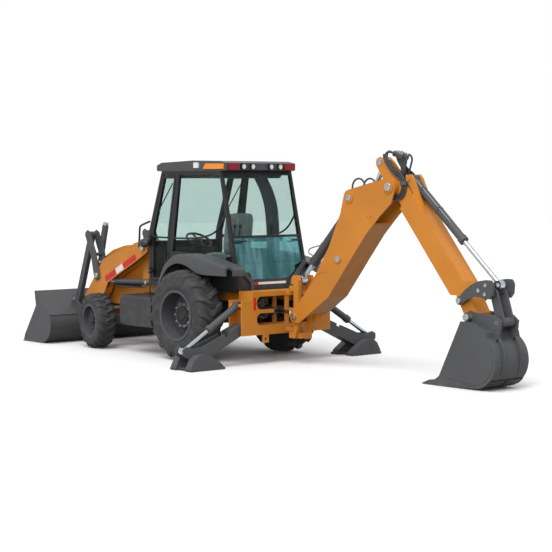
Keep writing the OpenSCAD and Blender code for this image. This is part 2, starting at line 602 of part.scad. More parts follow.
// stabilizers work in the y-z plane; s is +1 for the left one
module stab_leg(s) {
    b = folded(q_stab);
    a = turn(b, q_eye);
    mirror([0, s > 0 ? 0 : 1, 0]) color("DimGray") difference() {
        union() {
            wall_x(leg_x0 + 12, leg_x1 - 12) polygon([[640, 430], [740, 415], [1330, 145], [1600, 120], [1740, 200], [1745, 280],
                [1680, 315], [1600, 290], [1420, 300], [740, 560], [650, 550]]);
        }
        pin_x(q_leg, 30 + fit, -1300, -700);
        wall_x(leg_xm - 62, leg_xm + 62) polygon([polar(polar(b, -75, a), 400, a + 90), polar(polar(b, -75, a), -64, a + 90),
            polar(polar(b, 560, a), -86, a + 90), [1640, 100], [1900, 100], [1900, 700]]);
        pin_x(b, 36, -1300, -700);
        wall_x(-1300, -700) polygon([b + [-36, 0], b + [36, 0], b + [44, 200], b + [-28, 200]]);
        wall_x(leg_xm - 62, leg_xm + 62) polygon([[1420, 60], [1440, 190], [1640, 190], [1660, 60]]);
    }
    mirror([0, s > 0 ? 0 : 1, 0]) color("DimGray") pin_x(q_pad, 24, leg_xm - 222, leg_xm + 222);
}
module stab_leg_left() { stab_leg(1); }
module stab_leg_right() { stab_leg(-1); }
module stab_pad(s) {
    mirror([0, s > 0 ? 0 : 1, 0]) color("DimGray") difference() {
        union() {
            for (k = [-1, 1]) translate([k * 158, 0, 0]) {
                wall_x(leg_xm - 58, leg_xm + 58) polygon([[1170, 28], [1720, 28], [1706, 70], [1650, 165], [1590, 205],
                    [1470, 216], [1400, 200], [1200, 70]]);
                for (i = [0 : 5]) wall_x(leg_xm - 64, leg_xm + 64) polygon([[1160 + i * 97, 0], [1235 + i * 97, 0],
                    [1245 + i * 97, 30], [1150 + i * 97, 30]]);
            }
            wall_x(leg_xm - 110, leg_xm + 110) polygon([[1200, 20], [1690, 20], [1690, 38], [1200, 38]]);
        }
        pin_x(q_pad, 24 + fit, -1300, -600);
    }
}
module stab_pad_left() { stab_pad(1); }
module stab_pad_right() { stab_pad(-1); }
// turn an x-z cylinder drawing into the stabilizers' y-z plane
module in_yz(s) { mirror([0, s > 0 ? 0 : 1, 0]) rotate([0, 0, 90]) children(); }
module stab_barrel_left() { color("DimGray") in_yz(1) barrel(q_stab, q_eye, -leg_xm, 48, 590, 28, 55, 100, 26); }
module stab_barrel_right() { color("DimGray") in_yz(-1) barrel(q_stab, q_eye, -leg_xm, 48, 590, 28, 55, 100, 26); }
module stab_rod_left() { color("Silver") in_yz(1) rod(q_stab, q_eye, -leg_xm, 28, 485, 50, 90, 24); }
module stab_rod_right() { color("Silver") in_yz(-1) rod(q_stab, q_eye, -leg_xm, 28, 485, 50, 90, 24); }

module swing_post() {
    color("DarkOrange") difference() {
        union() {
            both() slab(90, 145) polygon([[-1370, 355], [-1370, 1080], [-1322, 1085], [-1328, 1170], [-1360, 1200], [-1440, 1200],
                [-1470, 1140], [-1470, 900], [-1485, 655], [-1470, 560], [-1400, 355]]);
            box(-1470, -1370, -100, 100, 355, 430);
            box(-1390, king_x, -145, 145, 985, 1048);
            box(-1390, king_x, -145, 145, 355, 435);
            translate([king_x, 0, 985]) cylinder(r = 112, h = 63);
            translate([king_x, 0, 355]) cylinder(r = 112, h = 80);
            translate([king_x, 0, 355]) cylinder(r = 40, h = 160);
            translate([king_x, 0, 900]) cylinder(r = 40, h = 164);
            both() lug_plate(swing_z + 32, swing_z + 58);
            both() lug_plate(swing_z - 58, swing_z - 32);
        }
        pin(p_foot, 42, -90, 90);
    }
    color("DarkOrange") both() pin(p_foot, 42, 88, boom_y + 18);
}
module lug_plate(z0, z1) {
    translate([0, 0, z0]) linear_extrude(z1 - z0) polygon([[-1400, 95], [-1400, 140], [-1300, 144], [-1264, 138], [-1248, 120],
        [-1264, 96], [-1300, 88]]);
}
module swing_barrels() {
    color("DimGray") both() translate([swing_x, swing_y, swing_z]) rotate([0, -90, 0]) difference() {
        cylinder(r = 48, h = swing_x + 985);
        translate([0, 0, 50]) cylinder(r = 24 + fit, h = 900);
    }
}
module swing_rod() {
    translate([swing_x - 325, swing_y, swing_z]) rotate([0, -90, 0]) cylinder(r = 24, h = swing_x - 325 - king_x);
    translate([king_x, swing_y, swing_z - 25]) cylinder(r = 32, h = 50);
}
module swing_rod_left() { color("Silver") swing_rod(); }
module swing_rod_right() { color("Silver") mirror([0, 1, 0]) swing_rod(); }

module boom() {
    color("DarkOrange") difference() {
        union() {
            both() slab(boom_y - 22, boom_y) boom_side();
            slab(-boom_y + 10, boom_y - 10) polygon([[-1745, 716], [-2076, 945], [-2491, 1448], [-2769, 1779], [-2905, 1911],
                [-2890, 1928], [-2755, 1794], [-2476, 1462], [-2064, 962], [-1733, 734]]);
            pin(p_boom_cyl, 34, -boom_y, boom_y);
            pin(p_crowd_base, 34, -boom_y, boom_y);
            pin(p_tip, 45, -boom_y - 16, boom_y + 16);
            both() pin(p_boom_cyl, 70, boom_y - 10, boom_y + 12);
            both() pin(p_crowd_base, 60, boom_y - 10, boom_y + 10);
            both() pin(p_tip, 80, boom_y - 10, boom_y + 12);
        }
        pin(p_foot, 42 + fit, -300, 300);
    }
}
module boom_side() {
    disc(p_foot, 88);
    disc(p_tip, 110);
    polygon([[-1415, 567], [-1500, 567], [-2076, 945], [-2491, 1448], [-2769, 1779], [-3023, 2025], [-3217, 2182],
        [-3280, 2355], [-3174, 2494], [-3060, 2480], [-2440, 2345], [-2389, 2321], [-2365, 2270], [-2301, 2038],
        [-2078, 1588], [-1746, 1111], [-1547, 895], [-1440, 745], [-1415, 743]]);
}
module boom_barrel() { color("DimGray") barrel(p_boom_cyl, p_post, 0, 65, 1220, 36, 62, 150, 34); }
module boom_rod() { color("Silver") rod(p_boom_cyl, p_post, 0, 36, 420, 58, 100, 34); }
module crowd_barrel() { color("DimGray") barrel(p_crowd_base, p_crowd, 0, 60, 860, 34, 62, 150, 34); }
module crowd_rod() { color("Silver") rod(p_crowd_base, p_crowd, 0, 34, 520, 56, 90, 32); }

module dipper() {
    color("DarkOrange") difference() {
        union() {
            pin(p_tip, 115, -142, 142);
            slab(-100, 100) polygon([du(-60, -30), du(1600, -30), du(1600, 205), du(200, 205), du(60, 150), du(-100, 60)]);
            both() slab(66, 100) polygon([du(60, -90), du(60, 100), du(-340, 80), du(-440, 60), du(-450, -10), du(-400, -50)]);
        }
        pin(p_tip, 45 + fit, -300, 300);
    }
}
module extension() {
    color("DarkOrange") difference() {
        union() {
            slab(-sleeve_y, sleeve_y) polygon([du(300, -54), du(1640, -54), du(1700, 20), du(1950, -20), du(2045, -30),
                du(2120, 20), du(2130, 90), du(2060, 150), du(1750, 190), du(1640, 221), du(300, 221)]);
            both() slab(62, 96) polygon([du(30, 250), du(70, 330), du(140, 335), du(620, 220), du(300, 220)]);
            pin(p_guide, 34, -215, 215);
            pin(p_dig, 38, -230, 230);
            pin(p_bcyl, 30, -110, 110);
        }
        slab(-100 - slip, 100 + slip) polygon([du(200, -30 - slip), du(1625, -30 - slip), du(1625, 205 + slip), du(200, 205 + slip)]);
    }
}
module bucket_barrel() { color("DimGray") barrel(p_bcyl, p_rod, 0, 52, 1130, 30, 56, 110, 30); }
module bucket_rod() { color("Silver") rod(p_bcyl, p_rod, 0, 30, 560, 50, 80, 30); }
module guide_links() {
    color("DimGray") difference() {
        union() {
            both() slab(170, 200) {
                disc(p_guide, 52);
                disc(p_rod, 60);
                polygon([[-4345, 1000], [-4420, 990], [-4500, 1046], [-4600, 1092], [-4700, 1092], [-4790, 1075], [-4860, 1075],
                    [-4905, 1130], [-4914, 1238], [-4880, 1294], [-4800, 1298], [-4690, 1280], [-4580, 1236], [-4470, 1162],
                    [-4400, 1095], [-4330, 1050]]);
            }
        }
        pin(p_guide, 34 + fit, -300, 300);
    }
    color("DimGray") pin([-4690, 1170], 20, -200, 200);
}
module bucket_link() {
    color("DimGray") difference() {
        union() {
            both() slab(62, 98) bar2(p_curl, p_mid, 58, 52);
            pin(p_curl, 58, -98, 98);
        }
        pin(p_curl, 30 + fit, -300, 300);
        pin(p_mid, 26, -300, 300);
    }
}
module hoe_bucket() {
    c = [dig_rear + 330, 347];
    color("DimGray") difference() {
        union() {
            slab(-dig_y, dig_y) polygon(concat([[-3965, 0], [-3985, 26], [-4290, 40], [-4700, 20]], arc(c, 308, 275, 120, 14),
                [[-4545, 770], [-4530, 800], [-4890, 690]], arc(c, 330, 125, 270, 14)));
            both() slab(dig_y - 20, dig_y) polygon(concat([[-3990, 2], [-4160, 120], [-4500, 800], [-4700, 790], [-4890, 690]],
                arc(c, 330, 125, 270, 14)));
            both() slab(135, 165) polygon([[-4460, 840], [-4480, 900], [-4522, 922], [-4570, 905], [-4800, 890], [-4930, 880],
                [-5010, 820], [-5000, 740], [-4960, 560], [-4700, 640], [-4560, 740]]);
            for (i = [-2 : 2]) slab(i * (dig_y - 34) / 2 - 32, i * (dig_y - 34) / 2 + 32) polygon([[-3880, 4], [-3884, 14], [-4000, 62],
                [-4140, 66], [-4140, 20], [-4000, 2]]);
            pin(p_curl, 30, -165, 165);
        }
        pin(p_dig, 38 + fit, -400, 400);
        slab(-132, 132) disc(p_dig, 112);
    }
}

at_origin() main_frame();
at_origin() engine();
at_origin() hood();
at_origin() grille();
at_origin() side_tanks();
at_origin() cab_floor();
at_origin() cab_frame();
at_origin() cab_glass();
at_origin() roof();
at_origin() fenders();
at_origin() seat();
at_origin() controls();
at_origin() lamps();
at_origin() axles();
at_origin() knuckle_left();
at_origin() knuckle_right();
at_origin() tyre_rl();
at_origin() tyre_rr();
at_origin() tyre_fl();
at_origin() tyre_fr();
at_origin() rim_rl();
at_origin() rim_rr();
at_origin() rim_fl();
at_origin() rim_fr();
at_origin() door_left();
at_origin() door_right();
at_origin() door_glass_left();
at_origin() door_glass_right();
at_origin() loader_arms();
at_origin() loader_bucket();
at_origin() lift_barrels();
at_origin() lift_rods();
at_origin() tilt_levers();
at_origin() tilt_links();
at_origin() tilt_barrels();
at_origin() tilt_rods();
at_origin() stab_leg_left();
at_origin() stab_leg_right();
at_origin() stab_pad_left();
at_origin() stab_pad_right();
at_origin() stab_barrel_left();
at_origin() stab_barrel_right();
at_origin() stab_rod_left();
at_origin() stab_rod_right();
at_origin() swing_post();
at_origin() swing_barrels();
at_origin() swing_rod_left();
at_origin() swing_rod_right();
at_origin() boom();
at_origin() boom_barrel();
at_origin() boom_rod();
at_origin() crowd_barrel();
at_origin() crowd_rod();
at_origin() dipper();
at_origin() extension();
at_origin() bucket_barrel();
at_origin() bucket_rod();
at_origin() guide_links();
at_origin() bucket_link();
at_origin() hoe_bucket();
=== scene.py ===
"""Looks of the backhoe loader: fitted pieces, materials, light and camera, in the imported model's frame."""

import json
import math

import bmesh
import bpy
import numpy as np
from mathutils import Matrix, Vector


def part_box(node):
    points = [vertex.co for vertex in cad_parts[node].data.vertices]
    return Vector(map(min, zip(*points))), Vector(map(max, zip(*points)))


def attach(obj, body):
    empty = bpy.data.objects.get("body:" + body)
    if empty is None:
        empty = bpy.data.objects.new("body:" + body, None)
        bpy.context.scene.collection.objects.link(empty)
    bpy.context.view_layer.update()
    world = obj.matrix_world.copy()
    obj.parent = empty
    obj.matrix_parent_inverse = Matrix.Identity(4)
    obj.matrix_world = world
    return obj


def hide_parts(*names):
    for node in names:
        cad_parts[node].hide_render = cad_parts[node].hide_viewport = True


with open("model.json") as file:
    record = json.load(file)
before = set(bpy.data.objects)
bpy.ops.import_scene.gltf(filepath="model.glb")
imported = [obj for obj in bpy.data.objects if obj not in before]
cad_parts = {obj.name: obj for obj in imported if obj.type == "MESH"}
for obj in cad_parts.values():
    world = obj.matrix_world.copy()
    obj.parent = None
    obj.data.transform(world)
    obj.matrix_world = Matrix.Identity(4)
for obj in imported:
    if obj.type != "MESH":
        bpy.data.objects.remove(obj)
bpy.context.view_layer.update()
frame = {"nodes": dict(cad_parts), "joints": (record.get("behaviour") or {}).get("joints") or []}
nodes = frame["nodes"]
pivots = {j["name"]: np.array(j["pos_m"]) for j in frame["joints"] if "pos_m" in j}
origin_x = pivots["roll_rl"][0]
axes = {j["name"]: np.array(j["axis"], float) for j in frame["joints"] if "axis" in j}


def mm(x, y, z):
    """Point given in millimetres from the rear axle's ground point, turned into the row frame."""
    return np.array([origin_x + x / 1000, y / 1000, z / 1000])


def lane(points, y):
    """Points (x, z) in millimetres, all at one distance y from the middle plane."""
    return [mm(x, y, z) for x, z in points]


def flat(points):
    """Outline points (x, z) in millimetres, as x and z of the row frame."""
    return [mm(x, 0, z)[[0, 2]] for x, z in points]


def mirrored(points, s):
    """Points (x, y, z) in millimetres on the left for s = 1 and on the right for s = -1."""
    return [mm(x, s * y, z) for x, y, z in points]


def at_x(x):
    """The row frame's x of a place given in millimetres from the rear axle."""
    return mm(x, 0, 0)[0]


def at_side(point, y):
    """A point moved to a distance y in metres from the middle plane."""
    return np.array([point[0], y, point[2]])


def unit(v):
    """Vectors scaled to length one along the last axis."""
    v = np.asarray(v, float)
    return v / np.maximum(np.linalg.norm(v, axis=-1, keepdims=True), 1e-12)


# Grids and sweeps
def quads(rows, cols, wrap_rows=False, wrap_cols=False):
    """Faces that join each point of a rows by cols grid to the next row and the next column."""
    r = np.arange(rows if wrap_rows else rows - 1)
    c = np.arange(cols if wrap_cols else cols - 1)
    r, c = np.meshgrid(r, c, indexing="ij")
    r2 = (r + 1) % rows
    c2 = (c + 1) % cols
    corners = [r * cols + c, r * cols + c2, r2 * cols + c2, r2 * cols + c]
    return np.stack(corners, -1).reshape(-1, 4)


def curve(points, count):
    """Catmull-Rom curve through points: each span is the cubic of its two ends and their neighbours."""
    p = np.asarray(points, float)
    p = np.vstack([2 * p[0] - p[1], p, 2 * p[-1] - p[-2]])
    t = np.linspace(0, len(p) - 3 - 1e-9, count)
    i = t.astype(int)
    f = (t - i)[:, None]
    a, b, c, d = p[i], p[i + 1], p[i + 2], p[i + 3]
    square = a - 2.5 * b + 2 * c - d / 2
    cube = 1.5 * (b - c) + (d - a) / 2
    return b + f * (c - a) / 2 + f**2 * square + f**3 * cube


def rectangle(a0, b0, a1, b1):
    """Corners of a rectangle between two opposite ones, in order."""
    return [(a0, b0), (a1, b0), (a1, b1), (a0, b1)]


def above(along):
    """Unit vector square to a direction in the x-z plane, on its upper side."""
    over = np.array([-along[2], 0, along[0]])
    return over if over[2] > 0 else -over


def basis(axis):
    """Two unit vectors square to an axis and to each other."""
    axis = unit(axis)
    ref = np.array([0.0, 0, 1]) if abs(axis[2]) < 0.9 else np.array([1.0, 0, 0])
    a = unit(np.cross(ref, axis))
    return a, np.cross(axis, a)


class Piece:
    """Collects grids into one mesh with one material per grid."""

    def __init__(self):
        self.points = []
        self.faces = []
        self.marks = []
        self.size = 0

    def add(self, points, faces, mark=0):
        """Adds points and faces; mark is the material's place in the list given to make."""
        self.points.append(np.asarray(points, float).reshape(-1, 3))
        self.faces += [[v + self.size for v in f] for f in faces]
        self.marks += [mark] * len(faces)
        self.size += len(self.points[-1])

    def shell(self, grid, mark=0, closed=False):
        """A closed skin over a grid whose rows are rings: each ring is joined to the next, and the first
        and last are closed flat, or joined to each other where closed is set."""
        n, m = grid.shape[:2]
        faces = quads(n, m, closed, True).tolist()
        if not closed:
            faces += [list(range(m)), list(range((n - 1) * m, n * m))]
        self.add(grid, faces, mark)

    def sweep(self, path, section, up=(0, 1, 0), mark=0, closed=False):
        """Carries a closed section of (side, top) offsets along a path: side is up x tangent and top is
        tangent x side."""
        path = np.asarray(path, float)
        section = np.asarray(section, float)
        tangent = np.roll(path, -1, 0) - np.roll(path, 1, 0) if closed else np.gradient(path, axis=0)
        tangent = unit(tangent)
        side = unit(np.cross(np.broadcast_to(np.asarray(up, float), path.shape), tangent))
        top = np.cross(tangent, side)
        grid = path[:, None] + side[:, None] * section[None, :, :1] + top[:, None] * section[None, :, 1:]
        self.shell(grid, mark, closed)

    def tube(self, path, radius, sides=10, up=(0, 1, 0), mark=0):
        """A round tube along a path: the section is a circle of that radius."""
        a = np.linspace(0, 2 * math.pi, sides, endpoint=False)
        self.sweep(path, np.stack([np.cos(a), np.sin(a)], 1) * radius, up, mark)

    def lathe(self, profile, centre, axis, sides=32, mark=0):
        """A turned form: each pair of radius and distance along the axis is one ring; the ends are flat."""
        profile = np.asarray(profile, float)
        a, b = basis(axis)
        t = np.linspace(0, 2 * math.pi, sides, endpoint=False)
        ring = np.cos(t)[:, None] * a + np.sin(t)[:, None] * b
        grid = np.asarray(centre) + profile[:, :1, None] * ring[None] + profile[:, 1:, None] * unit(axis)
        self.shell(grid, mark)

    def prism(self, outline, low, high, axis=1, mark=0):
        """A flat outline drawn out along one axis from low to high; the other axes keep their order."""
        outline = np.asarray(outline, float)
        grid = np.zeros((2, len(outline), 3))
        grid[..., [i for i in range(3) if i != axis]] = outline
        grid[0, :, axis] = low
        grid[1, :, axis] = high
        self.shell(grid, mark)

    def block(self, low, high, mark=0):
        """A block between two corners, drawn out of its rectangle."""
        (x0, y0, z0), (x1, y1, z1) = np.minimum(low, high), np.maximum(low, high)
        self.prism(rectangle(x0, z0, x1, z1), y0, y1, 1, mark)

    def scatter(self, profile, sides, centres, axis, mark=0):
        """Copies of one small turned form along one axis, one at each centre."""
        for centre in centres:
            self.lathe(profile, centre, axis, sides, mark)

    def make(self, name, body, materials, bevel=0.0, smooth=35, replaced=()):
        """Builds the mesh, turns its faces outward, smooths it up to an angle and puts it on a body."""
        mesh = bpy.data.meshes.new(name)
        mesh.from_pydata(np.vstack(self.points).tolist(), [], self.faces)
        for material in materials:
            mesh.materials.append(material)
        mesh.polygons.foreach_set("material_index", self.marks)
        work = bmesh.new()
        work.from_mesh(mesh)
        bmesh.ops.recalc_face_normals(work, faces=work.faces[:])
        work.to_mesh(mesh)
        work.free()
        mesh.shade_smooth()
        mesh.set_sharp_from_angle(angle=math.radians(smooth))
        obj = bpy.data.objects.new(name, mesh)
        bpy.context.scene.collection.objects.link(obj)
        if bevel:
            edge = obj.modifiers.new("edge", "BEVEL")
            edge.width = bevel
            edge.segments = 2
            edge.limit_method = "ANGLE"
            edge.angle_limit = math.radians(40)
        if replaced:
            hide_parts(*replaced)
        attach(obj, body)
        return obj


# Shader arithmetic
class Value:
    """One shader socket used in Python arithmetic: every operator adds one Math node."""

    def __init__(self, look, socket):
        self.look = look
        self.socket = socket

    def __add__(self, other):
        return self.look.math("ADD", self, other)

    def __radd__(self, other):
        return self.look.math("ADD", other, self)

    def __sub__(self, other):
        return self.look.math("SUBTRACT", self, other)

    def __rsub__(self, other):
        return self.look.math("SUBTRACT", other, self)

    def __mul__(self, other):
        return self.look.math("MULTIPLY", self, other)

    def __rmul__(self, other):
        return self.look.math("MULTIPLY", other, self)

    def __pow__(self, other):
        return self.look.math("POWER", self, other)

    def __gt__(self, other):
        return self.look.math("GREATER_THAN", self, other)

    def __lt__(self, other):
        return self.look.math("LESS_THAN", self, other)

    def __abs__(self):
        return self.look.math("ABSOLUTE", self)

    def ramp(self, low, high):
        """0 below low and 1 above high, smooth between."""
        settings = {"interpolation_type": "SMOOTHSTEP"}
        inputs = {"Value": self, "From Min": low, "From Max": high}
        return self.look.node("ShaderNodeMapRange", settings, inputs)


class Look:
    """One material: its node tree, its Principled shader and the places on the piece."""

    def __init__(self, name, **constants):
        self.material = bpy.data.materials.new(name)
        self.material.use_nodes = True
        self.tree = self.material.node_tree
        self.shader = self.tree.nodes["Principled BSDF"]
        for socket, value in constants.items():
            self.shader.inputs[socket.replace("_", " ")].default_value = value
        self.place = self.node("ShaderNodeTexCoord", output="Object")
        self.x = self.node("ShaderNodeSeparateXYZ", inputs={"Vector": self.place}, output="X")
        self.y = Value(self, self.x.socket.node.outputs["Y"])
        self.z = Value(self, self.x.socket.node.outputs["Z"])

    def node(self, kind, settings=None, inputs=None, output=0):
        """Adds any node: its settings first, then its socket values and links; returns one output."""
        made = self.tree.nodes.new(kind)
        for key, value in (settings or {}).items():
            setattr(made, key, value)
        for key, value in (inputs or {}).items():
            if isinstance(value, Value):
                self.tree.links.new(value.socket, made.inputs[key])
            else:
                made.inputs[key].default_value = value
        return Value(self, made.outputs[output])

    def math(self, operation, *terms):
        """One Math node over one or two terms."""
        return self.node("ShaderNodeMath", {"operation": operation}, dict(enumerate(terms)))

    def noise(self, scale, detail=4.0, rough=0.55, stretch=(1, 1, 1)):
        """Fractal noise over the piece's own places, stretched along its axes."""
        place = self.place
        if stretch != (1, 1, 1):
            settings = {"operation": "MULTIPLY"}
            place = self.node("ShaderNodeVectorMath", settings, {0: place, 1: stretch})
        inputs = {"Vector": place, "Scale": scale, "Detail": detail, "Roughness": rough}
        return self.node("ShaderNodeTexNoise", None, inputs)

    def mix(self, share, a, b):
        """Colour a where share is 0 and colour b where it is 1."""
        a = a if isinstance(a, Value) else (*a, 1)
        b = b if isinstance(b, Value) else (*b, 1)
        return self.node("ShaderNodeMix", {"data_type": "RGBA"}, {0: share, 6: a, 7: b}, 2)

    def bump(self, height, strength, distance=0.002):
        """Raises the surface by a height."""
        inputs = {"Height": height, "Strength": strength, "Distance": distance}
        self.feed(Normal=self.node("ShaderNodeBump", None, inputs))

    def feed(self, **links):
        """Links values to the shader's sockets."""
        for socket, value in links.items():
            self.tree.links.new(value.socket, self.shader.inputs[socket.replace("_", " ")])


# Finishes
def paint(name, colour, rough, dust, wear=0.0, bare=(0.32, 0.31, 0.3)):
    """Sprayed enamel: slow colour drift, dust toward the ground, chips to a bare colour, fine bump."""
    look = Look(name, Specular_IOR_Level=0.22)
    drift = look.noise(1.7, 3)
    fine = look.noise(38, 5)
    colour = np.array(colour)
    base = look.mix(drift.ramp(0.3, 0.7), tuple(colour * 0.93), tuple(np.minimum(colour * 1.06, 1)))
    low = (1 - look.z.ramp(0.05, 1.2)) * fine.ramp(0.42, 0.72) * dust
    base = look.mix(low, base, (0.24, 0.21, 0.17))
    chips = look.noise(95, 2).ramp(0.70, 0.74) * look.noise(3.2, 3).ramp(0.52, 0.66) * wear
    base = look.mix(chips, base, bare)
    look.feed(Base_Color=base, Roughness=rough + fine * 0.16 - 0.08 + low * 0.5)
    look.bump(look.noise(240, 1), 0.05, 0.0006)
    return look


def rubber(name, colour, rough):
    """Rubber, plastic or vinyl: a dry bloom lightens the colour, and the bump is a fine grain."""
    look = Look(name)
    bloom = look.noise(9, 5).ramp(0.42, 0.75)
    base = look.mix(bloom, colour, tuple(np.array(colour) * 1.8 + 0.01))
    look.feed(Base_Color=base, Roughness=rough + look.noise(30, 3) * 0.14 - 0.07)
    look.bump(look.noise(420, 2), 0.12, 0.0006)
    return look


def steel(name, colour, rough):
    """Turned or ground steel with faint streaks."""
    look = Look(name, Metallic=1.0)
    streak = look.noise(60, 3, 0.6, (1, 1, 6))
    base = look.mix(streak, tuple(np.array(colour) * 0.86), colour)
    look.feed(Base_Color=base, Roughness=rough + streak * 0.1 - 0.05)
    look.bump(streak, 0.03, 0.0004)
    return look


def bucket_look(name, colour):
    """Enamel scoured toward bare steel near the ground."""
    look = paint(name, colour, 0.42, 0.06, 0.08)
    scour = look.noise(14, 6, 0.7, (0.35, 1.6, 1.2))
    rub = scour.ramp(0.5, 0.72) * (1 - look.z.ramp(0.0, 0.12)) * 0.4
    painted = Value(look, look.shader.inputs["Base Color"].links[0].from_socket)
    look.feed(Base_Color=look.mix(rub, painted, (0.30, 0.29, 0.28)), Metallic=rub * 0.6)
    return look


def glass_look(name):
    """Mint cab glass that tints what is behind it; the lower rear pane is painted a deeper teal as painted
    shade, with lighter streaks and raised metallic shine as painted reflections.
    """
    look = Look(name, IOR=1.12, Transmission_Weight=1.0)
    film = look.noise(3, 4).ramp(0.35, 0.8)
    pane_front = origin_x - 0.45
    pane_top = 1.69
    pane_half = 0.602
    lower = (look.x < pane_front) * (look.z < pane_top) * (abs(look.y) < pane_half)
    # On the lower rear pane these streaks are painted reflections: lighter teal and more metallic shine.
    streak = look.noise(2.2, 3, 0.6, (1, 4, 0.5)).ramp(0.35, 0.7)
    base = look.mix(film * 0.5, (0.66, 0.765, 0.735), (0.60, 0.73, 0.71))
    # Painted shade and painted reflections: the lower rear pane gets a deeper teal than the rest of the
    # glass, with lighter streaks.
    teal = look.mix(streak, (0.14, 0.385, 0.395), (0.25, 0.475, 0.52))
    base = look.mix(lower, base, teal)
    shine = lower * (0.18 + streak * 0.2)
    look.feed(Base_Color=base, Metallic=shine, Roughness=0.015 + lower * film * 0.06)
    return look


# Work lamps at the roof's rear edge, in millimetres
LAMP_Y = (166, 331)
LAMP_Z = 2657.5


def lens_look(name):
    """Fluted lamp lenses coloured by place: red at the roof's rear corners, amber along its sides, clear
    elsewhere, as discs in dark bezels between the rear corners."""
    look = Look(name, Specular_IOR_Level=0.3)
    rear = origin_x - 0.53
    corner_y = 0.395
    roof_side = 0.6295
    corner = (look.x < rear) * (abs(look.y) > corner_y)
    side = (abs(look.y) > roof_side) * (look.x < origin_x) * (look.x > rear)
    grain = look.noise(40, 2)
    base = look.mix(grain, (0.66, 0.68, 0.70), (0.84, 0.85, 0.86))
    base = look.mix(corner, base, (0.24, 0.006, 0.012))
    base = look.mix(side, base, (0.85, 0.27, 0.02))
    inner, outer = LAMP_Y
    across = abs(abs(abs(look.y) - (inner + outer) / 2000) - (outer - inner) / 2000)
    up = look.z - LAMP_Z / 1000
    away = (across * across + up * up) ** 0.5
    bezel = (look.x < rear) * (abs(look.y) < corner_y) * away.ramp(0.036, 0.039)
    base = look.mix(bezel, base, (0.02, 0.02, 0.022))
    inputs = {"Vector": look.place, "Scale": 55.0}
    wave = look.node("ShaderNodeTexWave", {"bands_direction": "Y"}, inputs, 1)
    look.feed(Base_Color=base, Roughness=0.16 + grain * 0.1)
    look.bump(wave, 0.25, 0.002)
    return look


ORANGE = (0.54, 0.200, 0.026)
CHARCOAL = (0.070, 0.072, 0.076)
orange = paint("orange_enamel", ORANGE, 0.36, 0.06, 0.12, (0.30, 0.12, 0.03)).material
charcoal = paint("charcoal_enamel", CHARCOAL, 0.45, 0.08, 0.1).material
black_paint = paint("black_enamel", (0.016, 0.0165, 0.0175), 0.38, 0.05).material
plastic = rubber("black_plastic_grain", (0.014, 0.014, 0.015), 0.5).material
tyre_rubber = rubber("tyre_rubber", (0.024, 0.024, 0.025), 0.78).material
hose_rubber = rubber("hose_rubber", (0.016, 0.016, 0.017), 0.5).material
vinyl = rubber("grey_vinyl", (0.20, 0.205, 0.21), 0.55).material
bright = steel("hard_chrome", (0.46, 0.51, 0.56), 0.2).material
plain_steel = steel("pin_steel", (0.40, 0.43, 0.44), 0.36).material
red_film = paint("red_film", (0.55, 0.02, 0.015), 0.3, 0.1).material
white_film = paint("white_film", (0.72, 0.72, 0.72), 0.3, 0.1).material
scoured = bucket_look("bucket_enamel", CHARCOAL).material
zinc = paint("zinc_pipe", (0.23, 0.24, 0.25), 0.55, 0.05).material
glass = glass_look("teal_glass").material
lens = lens_look("lamp_lens").material

# Finish of each CAD node
finish_of_slot = {
    "orange_paint": orange,
    "grey_paint": charcoal,
    "cab_black": black_paint,
    "black_plastic": plastic,
    "glass": glass,
    "chrome": bright,
    "tyre": tyre_rubber,
    "seat_vinyl": vinyl,
    "lens": lens,
}
special = {"loader_bucket": scoured, "hoe_bucket": scoured, "roof": charcoal}
special.update({n: charcoal for n in nodes if n.endswith("_barrel") or n.endswith("_barrels")})


def node_slot(name):
    """The record's slot of a node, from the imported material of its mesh."""
    material = nodes[name].data.materials[0] if nodes[name].data.materials else None
    return material.name.split(".")[0] if material else ""


for name, obj in nodes.items():
    chosen = special.get(name) or finish_of_slot.get(node_slot(name)) or orange
    obj.data.materials.clear()
    obj.data.materials.append(chosen)


# Tyres and wheels
LUG_SLANT = 0.62
LUG_HALF_WIDTH = 0.165
LUG_WIDENING = 0.035
COLS_PER_LUG = 34
TYRE_ROWS = 61


def box_of(node):
    """Centre of a node's box at rest, and half its height."""
    low, high = (np.array(v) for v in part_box(node))
    return (low + high) / 2, (high[2] - low[2]) / 2


def axle_of(body):
    """Unit vector along a wheel's axle, pointing away from the machine."""
    axis = unit(axes[body.replace("wheel", "roll")])
    return axis if axis[1] * (1 if body.endswith("l") else -1) > 0 else -axis


